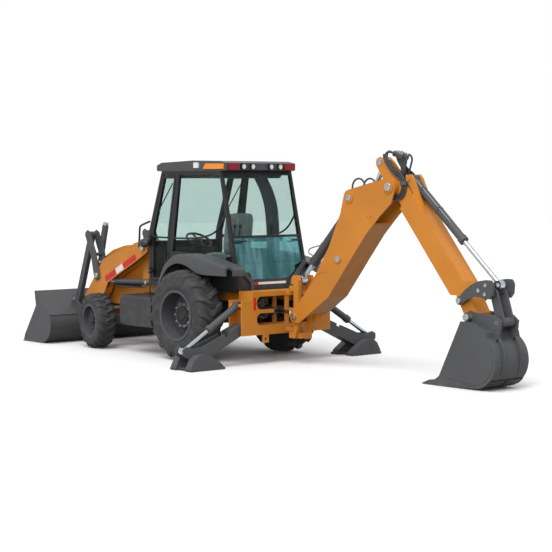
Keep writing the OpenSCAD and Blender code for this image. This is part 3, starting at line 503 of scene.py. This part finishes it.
def tyre(wheel, lugs, lug_height, half, bead):
    """Tyre as a height field: a superellipse carcass turned about the axle, raised along its normal where
    the angle less the slant times the distance from the centre line falls inside a lug of either half."""
    node = "tyre_" + wheel
    body = "wheel_" + wheel
    centre, outer = box_of(node)
    spin_axis = axle_of(body)
    carcass = outer - lug_height - 0.001
    cross, up = basis(spin_axis)
    cols = lugs * COLS_PER_LUG
    ring = np.linspace(0, 2 * math.pi, cols, endpoint=False)[None, :]
    phi = np.linspace(0.0, math.pi, TYRE_ROWS)[:, None]
    across = -np.sign(np.cos(phi)) * np.abs(np.cos(phi)) ** 0.55
    rise = np.sin(phi).clip(0) ** 0.52
    side = across * half * (0.80 + 0.20 * rise ** 0.5)
    radius = bead + (carcass - bead) * rise
    normal_r = rise ** 3
    normal_s = across * (1 - rise ** 4) * 0.5
    pitch = ring * lugs / (2 * math.pi)
    mask = np.zeros((TYRE_ROWS, cols))
    for sign in (-1, 1):
        reach = across * sign
        phase = pitch + 0.25 * sign - LUG_SLANT * reach
        frac = np.abs(phase - np.round(phase))
        inside = np.clip((LUG_HALF_WIDTH + LUG_WIDENING * reach - frac) / 0.04 + 0.5, 0, 1)
        inside *= np.clip((reach + 0.10) / 0.05, 0, 1)
        mask = np.maximum(mask, inside)
    tread = np.clip((rise - 0.60) / 0.2, 0, 1)
    height = lug_height * mask * mask * (3 - 2 * mask) * tread
    radius = radius + height * np.clip(normal_r + 0.15, 0, 1)
    side = side + height * normal_s
    radial = np.cos(ring)[..., None] * cross + np.sin(ring)[..., None] * up
    grid = centre + radius[..., None] * radial + side[..., None] * spin_axis
    piece = Piece()
    piece.shell(grid, closed=True)
    piece.make(node + "_rubber", body, [tyre_rubber], replaced=(node,), smooth=40)


for wheel in ("rl", "rr"):
    tyre(wheel, lugs=16, lug_height=0.036, half=0.225, bead=0.335)
for wheel in ("fl", "fr"):
    tyre(wheel, lugs=20, lug_height=0.024, half=0.155, bead=0.235)

# Turned parts: radius and distance along the axis
NUT = [(0.013, -0.002), (0.0155, 0.002), (0.0155, 0.015), (0.013, 0.018),
       (0.008, 0.018), (0.008, 0.030), (0.006, 0.033)]
KNOB = [(0.010, -0.026), (0.020, -0.017), (0.026, 0.0), (0.022, 0.014), (0.012, 0.023), (0.004, 0.026)]


def cap(piece, point, axis, radius, mark=0):
    """Pin head: a domed disc with a shallow centre hole, let 4 mm into the pin's end."""
    r = radius
    profile = [(r, -0.004), (r, 0.008), (0.94 * r, 0.012),
               (0.5 * r, 0.015), (0.44 * r, 0.009), (0.1 * r, 0.009)]
    piece.lathe(profile, point, axis, 32, mark)


def caps(name, body, spots):
    """Pin heads on both sides of a body: a spot is a point on the pin, half the pin's length, a radius."""
    piece = Piece()
    for point, half, radius in spots:
        for s in (-1, 1):
            cap(piece, at_side(point, s * half), (0, s, 0), radius)
    piece.make(name, body, [plain_steel])


# Pins and their heads
p_tip = pivots["crowd"]
p_foot = pivots["boom_lift"]
p_boom_cyl = pivots["boom_barrel_turn"]
p_boom_rod = mm(-1385, 0, 1136)
p_crowd_base = pivots["crowd_barrel_turn"]
p_crowd_rod = mm(-2942, 0, 2696)
p_bucket_cyl = pivots["bucket_barrel_turn"]
p_bucket_rod = mm(-4848, 0, 1238)
p_dig = pivots["curl"]
p_guide = pivots["guide_turn"]
p_curl = mm(-4941, 0, 802)
p_arm = pivots["lift"]
p_hinge = pivots["tilt"]
p_ear = mm(3142, 0, 659)
p_lever = pivots["lever_turn"]
p_lift_base = at_side(pivots["lift_barrel_turn"], 0)
p_lift_rod = mm(2304, 0, 971)
caps("boom_pin_heads", "boom",
     [(p_tip, 0.188, 0.052), (p_boom_cyl, 0.184, 0.042), (p_crowd_base, 0.182, 0.042)])
caps("dipper_pin_heads", "dipper", [(p_crowd_rod, 0.098, 0.042)])
caps("boom_foot_pin_heads", "swing_post", [(p_foot, 0.190, 0.042)])
caps("bucket_pin_heads", "extension", [(p_dig, 0.230, 0.046), (p_guide, 0.215, 0.036)])
caps("arm_pin_heads", "chassis", [(p_arm, 0.628, 0.045), (p_lift_base, 0.620, 0.030)])
caps("loader_pin_heads", "loader_bucket", [(p_hinge, 0.630, 0.040), (p_ear, 0.630, 0.032)])
caps("lever_pin_heads", "loader_arms", [(p_lever, 0.630, 0.040)])


# Hubs and nuts
def hub(wheel, studs, ring, seat, drum, cap_radius, nut_look):
    """Ring of nuts on a wheel's hub drum and a stepped cap over its middle, along the wheel's own axle."""
    body = "wheel_" + wheel
    centre = box_of("tyre_" + wheel)[0]
    out = axle_of(body)
    a, b = basis(out)
    t = np.linspace(0, 2 * math.pi, studs, endpoint=False)[:, None]
    piece = Piece()
    spots = centre + out * seat + ring * (np.cos(t) * a + np.sin(t) * b)
    piece.scatter(NUT, 6, spots, out)
    d = ring + 0.020
    wall = [(0.9 * d, drum), (d, drum + 0.010), (d, seat - 0.008), (d - 0.008, seat), (0.3 * d, seat)]
    piece.lathe(wall, centre, out, 48, 1)
    c = cap_radius
    profile = [(c, -0.004), (c, 0.016), (0.93 * c, 0.022),
               (0.62 * c, 0.024), (0.56 * c, 0.034), (0.1 * c, 0.036)]
    piece.lathe(profile, centre + out * seat, out, 40, 2)
    piece.make(body + "_nuts", body, [nut_look, charcoal, black_paint])


for wheel in ("rl", "rr"):
    hub(wheel, studs=10, ring=0.158, seat=0.060, drum=-0.066, cap_radius=0.122, nut_look=zinc)
for wheel in ("fl", "fr"):
    hub(wheel, studs=8, ring=0.104, seat=0.070, drum=0.030, cap_radius=0.070, nut_look=charcoal)


# Fenders
def fender(piece, s):
    """Shell of one rear fender: a rounded shelf whose outer lip hangs from a top curve to a low curve."""
    top = [(620, 1030), (560, 1150), (470, 1290), (300, 1415),
           (120, 1459), (-100, 1454), (-500, 1399), (-882, 1313)]
    low = [(594, 1022), (552, 1060), (400, 1240), (226, 1318), (100, 1325),
           (-60, 1296), (-210, 1232), (-359, 1198), (-600, 1193), (-882, 1193)]
    top, low = (curve([(x, 0, z) for x, z in q], 90) / 1000 for q in (top, low))
    fall = np.linalg.norm(low - top, axis=1)
    down = unit(low - top)
    edge = np.minimum(0.034, 0.5 * fall)
    skin = np.minimum(0.028, 0.95 * fall)
    inner = 0.640
    outer = 0.930
    lip = 0.900
    section = [(inner, 0 * edge), (0.888, 0 * edge), (0.910, 0.12 * edge), (0.924, 0.42 * edge),
               (outer, edge), (outer, fall), (lip, fall), (lip, skin), (inner, skin)]
    grid = np.stack([top + down * h[:, None] + [origin_x, s * y, 0] for y, h in section], 1)
    piece.shell(grid)
    tail = [(-878, 1314), (-930, 1302), (-952, 1288), (-960, 1268),
            (-960, 1195), (-927, 1195), (-920, 1260), (-878, 1282)]
    piece.prism(flat(tail), s * inner, s * 0.840)


fenders = Piece()
for s in (-1, 1):
    fender(fenders, s)
fenders.make("fender_shells", "chassis", [charcoal], smooth=42, replaced=("fenders",))


# Boom hoses
def hose(name, points, radius, body):
    """A free hose: a round tube along a Catmull-Rom curve that ends in the object."""
    path = curve(points, 60)
    up = np.linalg.svd(path - path.mean(0), full_matrices=False)[2][2]
    piece = Piece()
    piece.tube(path, radius, 12, up)
    obj = piece.make(name, body, [hose_rubber], smooth=60)


BOOM_HOSE_Y = 100
BOOM_HOSE_RADIUS = 0.012
ARCH_X = -2568
ARCH_Z = 2374
ARCH_RADIUS = 116
half_turn = np.linspace(0, math.pi, 7)
bow = np.array([ARCH_X, ARCH_Z]) + ARCH_RADIUS * np.stack([np.cos(half_turn), np.sin(half_turn)], 1)
arch = [(ARCH_X + ARCH_RADIUS, 2235), *bow, (ARCH_X - ARCH_RADIUS, 2285)]
for i, y in enumerate((BOOM_HOSE_Y, -BOOM_HOSE_Y)):
    hose(f"boom_hose_{i}", lane(arch, y), BOOM_HOSE_RADIUS, "boom")

# Hoses on the dipper's head
DIPPER_ANGLE = math.radians(230.45)
HOSE_LANE = 118
HOSE_PITCH = 0.027


def on_dipper(u, n, y):
    """Point u mm along the dipper from the boom's tip pin, n mm square to it and y mm from the middle."""
    c = math.cos(DIPPER_ANGLE)
    s = math.sin(DIPPER_ANGLE)
    return p_tip + np.array([u * c + n * s, y, u * s - n * c]) / 1000


def beside(path, offset):
    """A path in an x-z plane moved sideways by an offset square to its own direction."""
    tangent = unit(np.gradient(path, axis=0))
    return path + offset * np.stack([tangent[:, 2], 0 * tangent[:, 1], -tangent[:, 0]], 1)


bundle = Piece()
band = [(-392, 176), (-335, 146), (-231, 143), (-127, 158), (-3, 196),
        (105, 190), (166, 126), (184, 40), (130, -50), (20, -130)]
for s in (-1, 1):
    route = curve([on_dipper(u, n, HOSE_LANE * s) for u, n in band], 90)
    for offset in (-HOSE_PITCH, 0.0, HOSE_PITCH):
        bundle.tube(beside(route, offset), 0.0135)
    strap = [on_dipper(105 + k, 190 - 0.4 * k, HOSE_LANE * s) for k in (-22, 22)]
    bundle.tube(curve(strap, 8), 0.046, 16, mark=1)
    for rise, y0 in [(0, 112), (12, 86)]:
        lift = [(-385, 170, y0), (-400 - rise, 196, y0 - 20), (-372 - rise, 228, 68),
                (-345, 246, 62), (-312, 264, 58)]
        bundle.tube(curve([on_dipper(u, n, y * s) for u, n, y in lift], 30), 0.0125, up=(0.6, 0, 0.8))
    drop = [(-255, 316, 30), (-208, 374, 44), (-145, 364, 50),
            (-92, 294, 46), (-20, 190, 40), (30, 120, 36)]
    bundle.tube(curve([on_dipper(u, n, y * s) for u, n, y in drop], 40), 0.0125)
spine = np.linspace(on_dipper(-346, 238, 0), on_dipper(-205, 326, 0), 7)
section = [(-0.058, -0.030), (0.058, -0.030), (0.066, -0.020), (0.066, 0.026),
           (0.056, 0.034), (-0.056, 0.034), (-0.066, 0.026), (-0.066, -0.020)]
bundle.sweep(spine, section, (0, 0, 1), 1)
out = unit(on_dipper(-300, 400, 0) - on_dipper(-300, 300, 0))
spots = [spine[0] + f * (spine[-1] - spine[0]) + out * 0.03 + [0, y, 0]
         for f in (0.15, 0.38, 0.62, 0.85) for y in (-0.032, 0.032)]
bundle.scatter(NUT, 6, spots, out, 2)
stem = [on_dipper(20, 110, 0), on_dipper(-120, 215, 0), on_dipper(-250, 300, 0)]
bundle.sweep(curve(stem, 16), rectangle(-0.040, -0.012, 0.040, 0.012), mark=1)
finishes = [hose_rubber, charcoal, plain_steel]
bundle.make("dipper_head_hoses", "dipper", finishes, smooth=50)

# Bucket cylinder's pipe and clamps
CLAMP_RADIUS = 0.0525
PAD_HALF = 0.012
pipes = Piece()
along = unit(p_bucket_rod - p_bucket_cyl)
over = above(along)
lean = unit(over + [0, 0.95, 0])
rail = [(0.07, 0.050), (0.12, 0.064), (0.40, 0.064), (0.72, 0.064), (0.80, 0.070), (0.84, 0.048)]
pipes.tube(curve([p_bucket_cyl + along * d + lean * h for d, h in rail], 60), 0.008, up=over)
ring = np.linspace(0, 2 * math.pi, 32, endpoint=False)[:, None]
for d in (0.22, 0.58):
    middle = p_bucket_cyl + along * d
    circle = middle + CLAMP_RADIUS * (np.cos(ring) * over + np.sin(ring) * np.array([0, 1, 0]))
    pipes.sweep(circle, rectangle(-0.003, -0.010, 0.003, 0.010), along, 1, True)
    pad = middle + lean * 0.062
    pipes.block(pad - PAD_HALF, pad + PAD_HALF, 1)
pipes.make("bucket_cylinder_pipes", "bucket_barrel", [zinc, charcoal], smooth=50)

# Boom cylinder's fitting loop
loop = Piece()
along = unit(p_boom_rod - p_boom_cyl)
over = above(along)
fitting = [(0.93, 0.055), (1.005, 0.106), (1.09, 0.160), (1.14, 0.185),
           (1.185, 0.180), (1.198, 0.150), (1.175, 0.112), (1.165, 0.055)]
loop.tube(curve([p_boom_cyl + along * d + over * h for d, h in fitting], 70), 0.009)
loop.scatter(NUT, 6, [p_boom_cyl + along * d + over * 0.062 for d in (0.93, 1.165)], over)
loop.make("boom_cylinder_fitting", "boom_barrel", [zinc], smooth=50)

# Lift cylinders' pipes and feed hoses
lines = Piece()
feeds = Piece()
along = unit(p_lift_rod - p_lift_base)
under = -above(along)
pipe = [(0.80, 0.038, 0.0), (0.80, 0.062, 0.02), (0.74, 0.075, 0.03), (0.40, 0.075, 0.03),
        (0.16, 0.075, 0.03), (0.10, 0.055, 0.02), (0.09, 0.036, 0.0)]
drop = [(1262, 560, 985), (1238, 596, 968), (1226, 604, 920),
        (1226, 600, 860), (1240, 570, 815), (1262, 520, 800)]
for s in (-1, 1):
    foot = at_side(p_lift_base, s * 0.535)
    path = [foot + along * d + under * h + [0, s * y, 0] for d, h, y in pipe]
    lines.tube(curve(path, 60), 0.010)
    feeds.tube(curve(mirrored(drop, s), 40), 0.012, up=(1, 0, 0))
lines.make("lift_cylinder_pipes", "lift_barrels", [hose_rubber], smooth=50)
feeds.make("lift_feed_hoses", "chassis", [hose_rubber], smooth=50)


# Hoe bucket and links
ARC_COUNT = 24
HEEL_RADIUS = 0.322


def arc_band(centre, inner, outer, first, last):
    """Outline between two radii about a centre, from one angle in degrees to another; a radius may be a
    pair of end values."""
    t = np.linspace(0, 1, ARC_COUNT)
    a = np.radians(first + (last - first) * t)
    inner, outer = (np.interp(t, [0, 1], np.broadcast_to(r, 2)) for r in (inner, outer))
    way = np.stack([np.cos(a), np.sin(a)], 1)
    return np.concatenate([centre + inner[:, None] * way, (centre + outer[:, None] * way)[::-1]])


heel = flat([(-4718, 347)])[0]
rim = flat([(-4770, 652), (-4560, 640), (-4500, 610), (-4235, 190), (-4290, 110), (-4700, 60)])
panel = np.concatenate([rim, arc_band(heel, 0.285, 0.29, 262, 140)[:ARC_COUNT]])
dress = Piece()
for s in (-1, 1):
    dress.prism(arc_band(heel, HEEL_RADIUS, (0.385, 0.331), 132, 212), s * 0.135, s * 0.165)
    dress.prism(arc_band(heel, HEEL_RADIUS, 0.341, 222, 240), s * 0.012, s * 0.292, 1, 1)
    dress.prism(arc_band(heel, HEEL_RADIUS, 0.338, 243, 258), s * 0.012, s * 0.292, 1, 1)
    dress.prism(panel, s * 0.298, s * 0.3045)
    for start, depth in [(0.156, 0.012), (0.204, 0.020)]:
        boss = [(0.056, 0.0), (0.056, depth - 0.004), (0.052, depth), (0.030, depth)]
        dress.lathe(boss, at_side(p_dig, s * start), (0, s, 0), 32)
    cap(dress, at_side(p_curl, s * 0.151), (0, s, 0), 0.034, 2)
dress.make("hoe_bucket_trim", "hoe_bucket", [scoured, black_paint, plain_steel], bevel=0.002)
bolts = Piece()
for s in (-1, 1):
    for x, z, r in [(-4690, 1170, 0.026), (-4800, 1236, 0.024), (-4790, 1130, 0.024)]:
        cap(bolts, mm(x, s * 200, z), (0, s, 0), r)
bolts.make("guide_link_bolts", "guide_links", [plain_steel])

# Boom seams
BOOM_SIDE = 172
weld_lines = [
    [(-2642, 2060), (-2822, 1901), (-2856, 1922)],
    [(-2720, 2087), (-2778, 2001), (-2921, 2024)],
    [(-1795, 1167), (-1919, 1257), (-2092, 1275), (-2160, 1185)],
]
seam = Piece()
for s in (-1, 1):
    for line in weld_lines:
        seam.tube(curve(lane(line, s * BOOM_SIDE), 40), 0.004, 8)
seam.make("boom_seams", "boom", [orange], smooth=60)

# Rear frame: valve banks with hoses, corner gussets
BANK_WALL = -830
bank = Piece()
rng = np.random.default_rng(4)
for s in (-1, 1):
    for k in range(7):
        y0, y1 = 1000 * rng.uniform(0.25, 0.5, 2)
        z0, z1 = 1000 * rng.uniform(0.56, 0.68, 2) + (200 if k % 2 else 0)
        x0 = 1000 * rng.uniform(-1.03, -0.95)
        bend = (x0 - 20, (y0 + y1) / 2, (z0 + z1) / 2 + 10)
        points = [(BANK_WALL, y0, z0), (x0, y0, z0 + 20), bend, (x0, y1, z1), (BANK_WALL, y1, z1)]
        bank.tube(curve(mirrored(points, s), 36), 0.014, up=(0, 0.05, 1))
    low = mm(-960, s * 300, 760)
    high = mm(-850, s * 500, 900)
    bank.block(low, high, 1)
    spots = [low + (high - low) * [0.0, f, 0.5] for f in (0.2, 0.5, 0.8)]
    bank.scatter(NUT, 6, spots, (-1, 0, 0), 2)
finishes = [hose_rubber, charcoal, plain_steel]
bank.make("rear_frame_valves", "chassis", finishes, smooth=50)

GUSSET_Y = 540
GUSSET_RADIUS = 75
GUSSET_LAP = 4
GUSSET_REAR = at_x(-1079.5)
GUSSET_FRONT = at_x(-1055.5)
quarter = np.radians(np.linspace(0, 90, 12))
round_edge = GUSSET_RADIUS * np.stack([np.cos(quarter) - 1, 1 - np.sin(quarter)], 1)
gusset = Piece()
for s in (-1, 1):
    for z, way in [(915, -1), (740, 1), (690, -1), (530, 1)]:
        outline = np.concatenate([[(GUSSET_LAP, -GUSSET_LAP)], round_edge]) * [1, way] + [GUSSET_Y, z]
        gusset.prism(outline * [s / 1000, 1 / 1000], GUSSET_REAR, GUSSET_FRONT, 0)
gusset.make("rear_frame_gussets", "chassis", [orange])

# Reflector strips
strip = Piece()
for s in (-1, 1):
    strip.prism(rectangle(s * 0.556, 0.735, s * 0.600, 0.905), at_x(-1082.5), at_x(-1079), 0)
strip.make("rear_reflectors", "chassis", [red_film])
arm_low = mm(2282, 0, 957)
run = mm(1560, 0, 1298) - arm_low
over = above(unit(run))
bands = Piece()
for s in (-1, 1):
    for k, (f0, f1) in enumerate([(-0.05, 0.33), (0.33, 0.575), (0.575, 1.02)]):
        spots = [arm_low + run * f + over * d for f, d in rectangle(f0, 0.018, f1, 0.106)]
        bands.prism([(p[0], p[2]) for p in spots], s * 0.5985, s * 0.6012, 1, k % 2)
bands.make("arm_reflectors", "loader_arms", [red_film, white_film])
SILL_LOW = 1.052
SILL_HIGH = 1.084
sill = Piece()
for y0, y1, mark in [(-0.26, 0.24, 1), (0.24, 0.33, 0)]:
    sill.prism(rectangle(y0, SILL_LOW, y1, SILL_HIGH), at_x(-760.5), at_x(-756), 0, mark)
sill.make("sill_strip", "chassis", [red_film, white_film])

# Cab trim
CAB_SIDE = 632
belt = [(668, 1659), (603, 1659), (350, 1662), (135, 1671), (-70, 1693),
        (-254, 1742), (-380, 1815), (-478, 1925), (-530, 2010)]
kink = [(-748, 612, 1345), (-756, 590, 1318), (-760, 470, 1190), (-762, 362, 1080), (-762, 350, 985)]
section = [(-0.026, -0.016), (0.026, -0.016), (0.026, 0.010),
           (0.020, 0.016), (-0.020, 0.016), (-0.026, 0.010)]
grip = [(-680, 585, 1652), (-715, 575, 1650), (-722, 540, 1648), (-722, 430, 1646), (-705, 405, 1646)]
rail = [(1190, 1880), (1219, 1874), (1330, 1842), (1400, 1818),
        (1430, 1780), (1440, 1650), (1448, 1560), (1450, 1500)]
trim = Piece()
for s in (-1, 1):
    trim.tube(curve(lane(belt, s * CAB_SIDE), 70), 0.013)
    trim.sweep(curve(mirrored(kink, s), 40), section, (1, 0, 0), 1)
    trim.tube(curve(mirrored(grip, s), 40), 0.011, up=(0, 0, 1))
trim.tube(curve(lane(rail, 628), 60), 0.015, 12)
trim.make("cab_rails", "chassis", [black_paint, charcoal], smooth=50)

door_belt = [(1090, 1664), (950, 1662), (770, 1660)]
strut = [(640, 2430), (800, 2240), (960, 2050)]
pull = [(772, 640, 1300), (772, 668, 1310), (772, 672, 1380), (772, 668, 1450), (772, 640, 1460)]
for side, s in (("left", 1), ("right", -1)):
    fit = Piece()
    fit.tube(curve(lane(door_belt, s * CAB_SIDE), 24), 0.013)
    fit.tube(curve(lane(strut, s * 631), 24), 0.008, 8)
    fit.tube(curve(mirrored(pull, s), 30), 0.010, up=(1, 0, 0))
    fit.make(f"door_fittings_{side}", f"door_{side}", [black_paint], smooth=50)

# Lamp rings and side lamp
rings = Piece()
t = np.linspace(0, 2 * math.pi, 32, endpoint=False)
section = [(-0.006, -0.004), (0.007, -0.004), (0.007, 0.004), (0.002, 0.008), (-0.006, 0.004)]
inner, outer = LAMP_Y
for y in (-outer, -inner, inner, outer):
    circle = mm(-568, y, LAMP_Z) + 0.041 * np.stack([0 * t, np.cos(t), np.sin(t)], 1)
    rings.sweep(circle, section, (1, 0, 0), 0, True)
egg = [(0.012, -0.085), (0.040, -0.070), (0.060, -0.035), (0.066, 0.0),
       (0.062, 0.035), (0.046, 0.065), (0.015, 0.080)]
rings.lathe(egg, mm(1215, 700, 1575), (1, 0.25, -0.05), 32)
arm = mirrored([(1185, 628, 1560), (1200, 660, 1562), (1212, 692, 1572)], 1)
rings.tube(curve(arm, 12), 0.011, up=(0, 0, 1))
rings.make("lamp_rings", "chassis", [plastic], smooth=40)

# Exhaust lip and sleeve
stack_foot = mm(2846, 395, 950)
stack_way = unit(mm(2617, 395, 1826) - stack_foot)
lip = Piece()
edge = [(0.037, -0.030), (0.042, -0.026), (0.042, 0.003), (0.039, 0.005), (0.033, 0.005), (0.033, 0.001)]
lip.lathe(edge, stack_foot + stack_way * 0.905, stack_way, 32)
lip.make("exhaust_lip", "chassis", [plain_steel], smooth=40)
sleeve = Piece()
wall = [(0.037, 0.420), (0.048, 0.428), (0.049, 0.860), (0.045, 0.872), (0.038, 0.874)]
sleeve.lathe(wall, stack_foot, stack_way, 40)
sleeve.make("exhaust_sleeve", "chassis", [charcoal], smooth=40)

# Cab inside: levers, roof lining, rear tray and the dark column on the right
levers = [(-330, 335, 1420, -40), (-330, -335, 1420, -40),
          (-360, 280, 1420, -60), (-360, -280, 1420, -60), (330, -500, 1500, 50)]
inside = Piece()
for x, y, z, lean in levers:
    stick = curve([mm(x, y, z - 10), mm(x + lean * 0.4, y, z + 200), mm(x + lean, y, z + 420)], 16)
    inside.tube(stick, 0.008, 8)
    inside.lathe(KNOB, stick[-1], (0, 0, 1), 20)
lining = [(-0.50, 2.500), (0.50, 2.500), (0.56, 2.585), (-0.56, 2.585)]
inside.prism(lining, at_x(-360), at_x(800), 0, 1)
tray = np.linspace(mm(-560, -300, 1660), mm(-560, 300, 1660), 6)
inside.sweep(tray, [(-0.07, -0.03), (0.07, -0.03), (0.085, 0.03), (-0.085, 0.03)], (0, 0, 1))
fore = curve(flat([(261, 2505), (138, 2333), (31, 2079), (-17, 1700), (-17, 1330)]), 30)
aft = curve(flat([(-249, 1330), (-249, 1704), (-210, 2082), (-105, 2334), (16, 2505)]), 30)
inside.prism(np.concatenate([fore, aft]), -0.588, -0.548, 1, 1)
inside.make("cab_inside", "chassis", [plastic, charcoal], smooth=45)


# Seat
def pillow(low, high, lean=0.0, bulge=0.35):
    """Cushion grid: a superellipsoid between two corners, pinched along two seams, leaned at its base."""
    u = np.linspace(-math.pi / 2 + 0.02, math.pi / 2 - 0.02, 40)[:, None]
    v = np.linspace(-math.pi, math.pi, 72, endpoint=False)[None, :]

    def power(t):
        return np.sign(t) * np.abs(t) ** bulge

    x = power(np.cos(u)) * power(np.cos(v))
    y = power(np.cos(u)) * power(np.sin(v))
    z = power(np.sin(u)) * np.ones_like(v)
    groove = 1 - 0.10 * np.exp(-((np.abs(y) - 0.55) / 0.05) ** 2)
    grid = np.stack([x * groove, y, z * groove], -1) * (high - low) / 2 + (high + low) / 2
    grid[..., 0] += (grid[..., 2] - low[2]) * lean
    return grid


def cushion(name, grid):
    """A padded piece from a closed cushion grid."""
    piece = Piece()
    piece.shell(grid)
    obj = piece.make(name, "chassis", [vinyl], smooth=60)


stand = Piece()
stand.prism(flat([(20, 1000), (400, 1000), (360, 1340), (40, 1340)]), -0.19, 0.19)
bellows_up = np.linspace(0, 0.22, 40)
bellows_out = 0.205 + 0.012 * np.sin(np.linspace(0, 12 * math.pi, 40))
stand.lathe(np.stack([bellows_out, bellows_up], 1), mm(210, 0, 1060), (0, 0, 1), 40)
stand.make("seat_stand", "chassis", [plastic], replaced=("seat",))
cushion("seat_cushion", pillow(mm(-55, -235, 1325), mm(455, 235, 1450)))
cushion("seat_back", pillow(mm(-55, -225, 1440), mm(60, 225, 2010), -0.16))

# Floor
FLOOR_HALF = 60
FLOOR_COUNT = 13
FLOOR_Z = -0.0005
scene = bpy.context.scene
floor_look = Look("pale_floor", Roughness=0.8)
rays = floor_look.node("ShaderNodeLightPath", output="Is Camera Ray")
glossy = Value(floor_look, rays.socket.node.outputs["Is Glossy Ray"])
through = Value(floor_look, rays.socket.node.outputs["Is Transmission Ray"])
seen = floor_look.math("MAXIMUM", floor_look.math("MAXIMUM", rays, glossy), through)
floor_tone = floor_look.mix(floor_look.noise(0.8, 3), (0.765, 0.765, 0.765), (0.785, 0.785, 0.785))
floor_look.feed(Base_Color=floor_look.mix(seen, (0.10, 0.10, 0.10), floor_tone))
spread = np.linspace(-FLOOR_HALF, FLOOR_HALF, FLOOR_COUNT)
gx, gy = np.meshgrid(spread, spread, indexing="ij")
floor_grid = np.stack([gx, gy, np.full_like(gx, FLOOR_Z)], -1).reshape(-1, 3)
floor_mesh = bpy.data.meshes.new("floor")
floor_mesh.from_pydata(floor_grid.tolist(), [], quads(FLOOR_COUNT, FLOOR_COUNT)[:, ::-1].tolist())
floor_mesh.materials.append(floor_look.material)
floor = bpy.data.objects.new("floor", floor_mesh)
scene.collection.objects.link(floor)

# World: a graded white that camera, mirror and glass rays see as plain white
world = bpy.data.worlds.new("studio")
scene.world = world
world.use_nodes = True
sky = world.node_tree
sky.nodes["Background"].inputs["Color"].default_value = (1, 1, 1, 1)
ray = sky.nodes.new("ShaderNodeLightPath")
choose = sky.nodes.new("ShaderNodeMix")
height = sky.nodes.new("ShaderNodeSeparateXYZ")
sky.links.new(sky.nodes.new("ShaderNodeTexCoord").outputs["Generated"], height.inputs[0])
graded = sky.nodes.new("ShaderNodeMapRange")
for socket, value in (("From Min", 0.0), ("From Max", 1.0), ("To Min", 0.50), ("To Max", 1.05)):
    graded.inputs[socket].default_value = value
sky.links.new(height.outputs["Z"], graded.inputs["Value"])
sky.links.new(graded.outputs[0], choose.inputs[2])
choose.inputs[3].default_value = 1.0
shown = ray.outputs["Is Camera Ray"]
for kind in ("Is Glossy Ray", "Is Transmission Ray"):
    either = sky.nodes.new("ShaderNodeMath")
    either.operation = "MAXIMUM"
    sky.links.new(shown, either.inputs[0])
    sky.links.new(ray.outputs[kind], either.inputs[1])
    shown = either.outputs[0]
sky.links.new(shown, choose.inputs[0])
sky.links.new(choose.outputs[0], sky.nodes["Background"].inputs["Strength"])


# Lamps and camera
def area_light(name, place, aim, size, power):
    """A soft square lamp at a place, turned to an aim point."""
    data = bpy.data.lights.new(name, "AREA")
    data.size = size
    data.energy = power
    obj = bpy.data.objects.new(name, data)
    obj.location = place
    obj.rotation_euler = (Vector(aim) - Vector(place)).to_track_quat("-Z", "Y").to_euler()
    scene.collection.objects.link(obj)


sun_data = bpy.data.lights.new("sun", "SUN")
sun_data.energy = 2.1
sun_data.angle = math.radians(38)
sun = bpy.data.objects.new("sun", sun_data)
sun.rotation_euler = Vector((0.30, -0.55, -0.95)).to_track_quat("-Z", "Y").to_euler()
scene.collection.objects.link(sun)
area_light("side", (-9.0, 12.0, 4.5), (-0.8, 0, 1.2), 5.0, 700)

FOCAL_PIXELS = 1564.986
PHOTO_PIXELS = 552
SENSOR_MM = 36
eye = Vector((-16.322, 14.070, 2.425))
heading = Vector((0.75281, -0.65824, 0))
pitch_down = math.radians(3.379)
look_along = heading * math.cos(pitch_down) - Vector((0, 0, math.sin(pitch_down)))
camera_data = bpy.data.cameras.new("camera")
camera_data.lens = FOCAL_PIXELS * SENSOR_MM / PHOTO_PIXELS
camera_data.sensor_width = SENSOR_MM
camera_data.clip_end = 300
camera = bpy.data.objects.new("camera", camera_data)
camera.location = eye
camera.rotation_euler = look_along.to_track_quat("-Z", "Y").to_euler()
scene.collection.objects.link(camera)
scene.camera = camera
scene.view_settings.view_transform = "Standard"
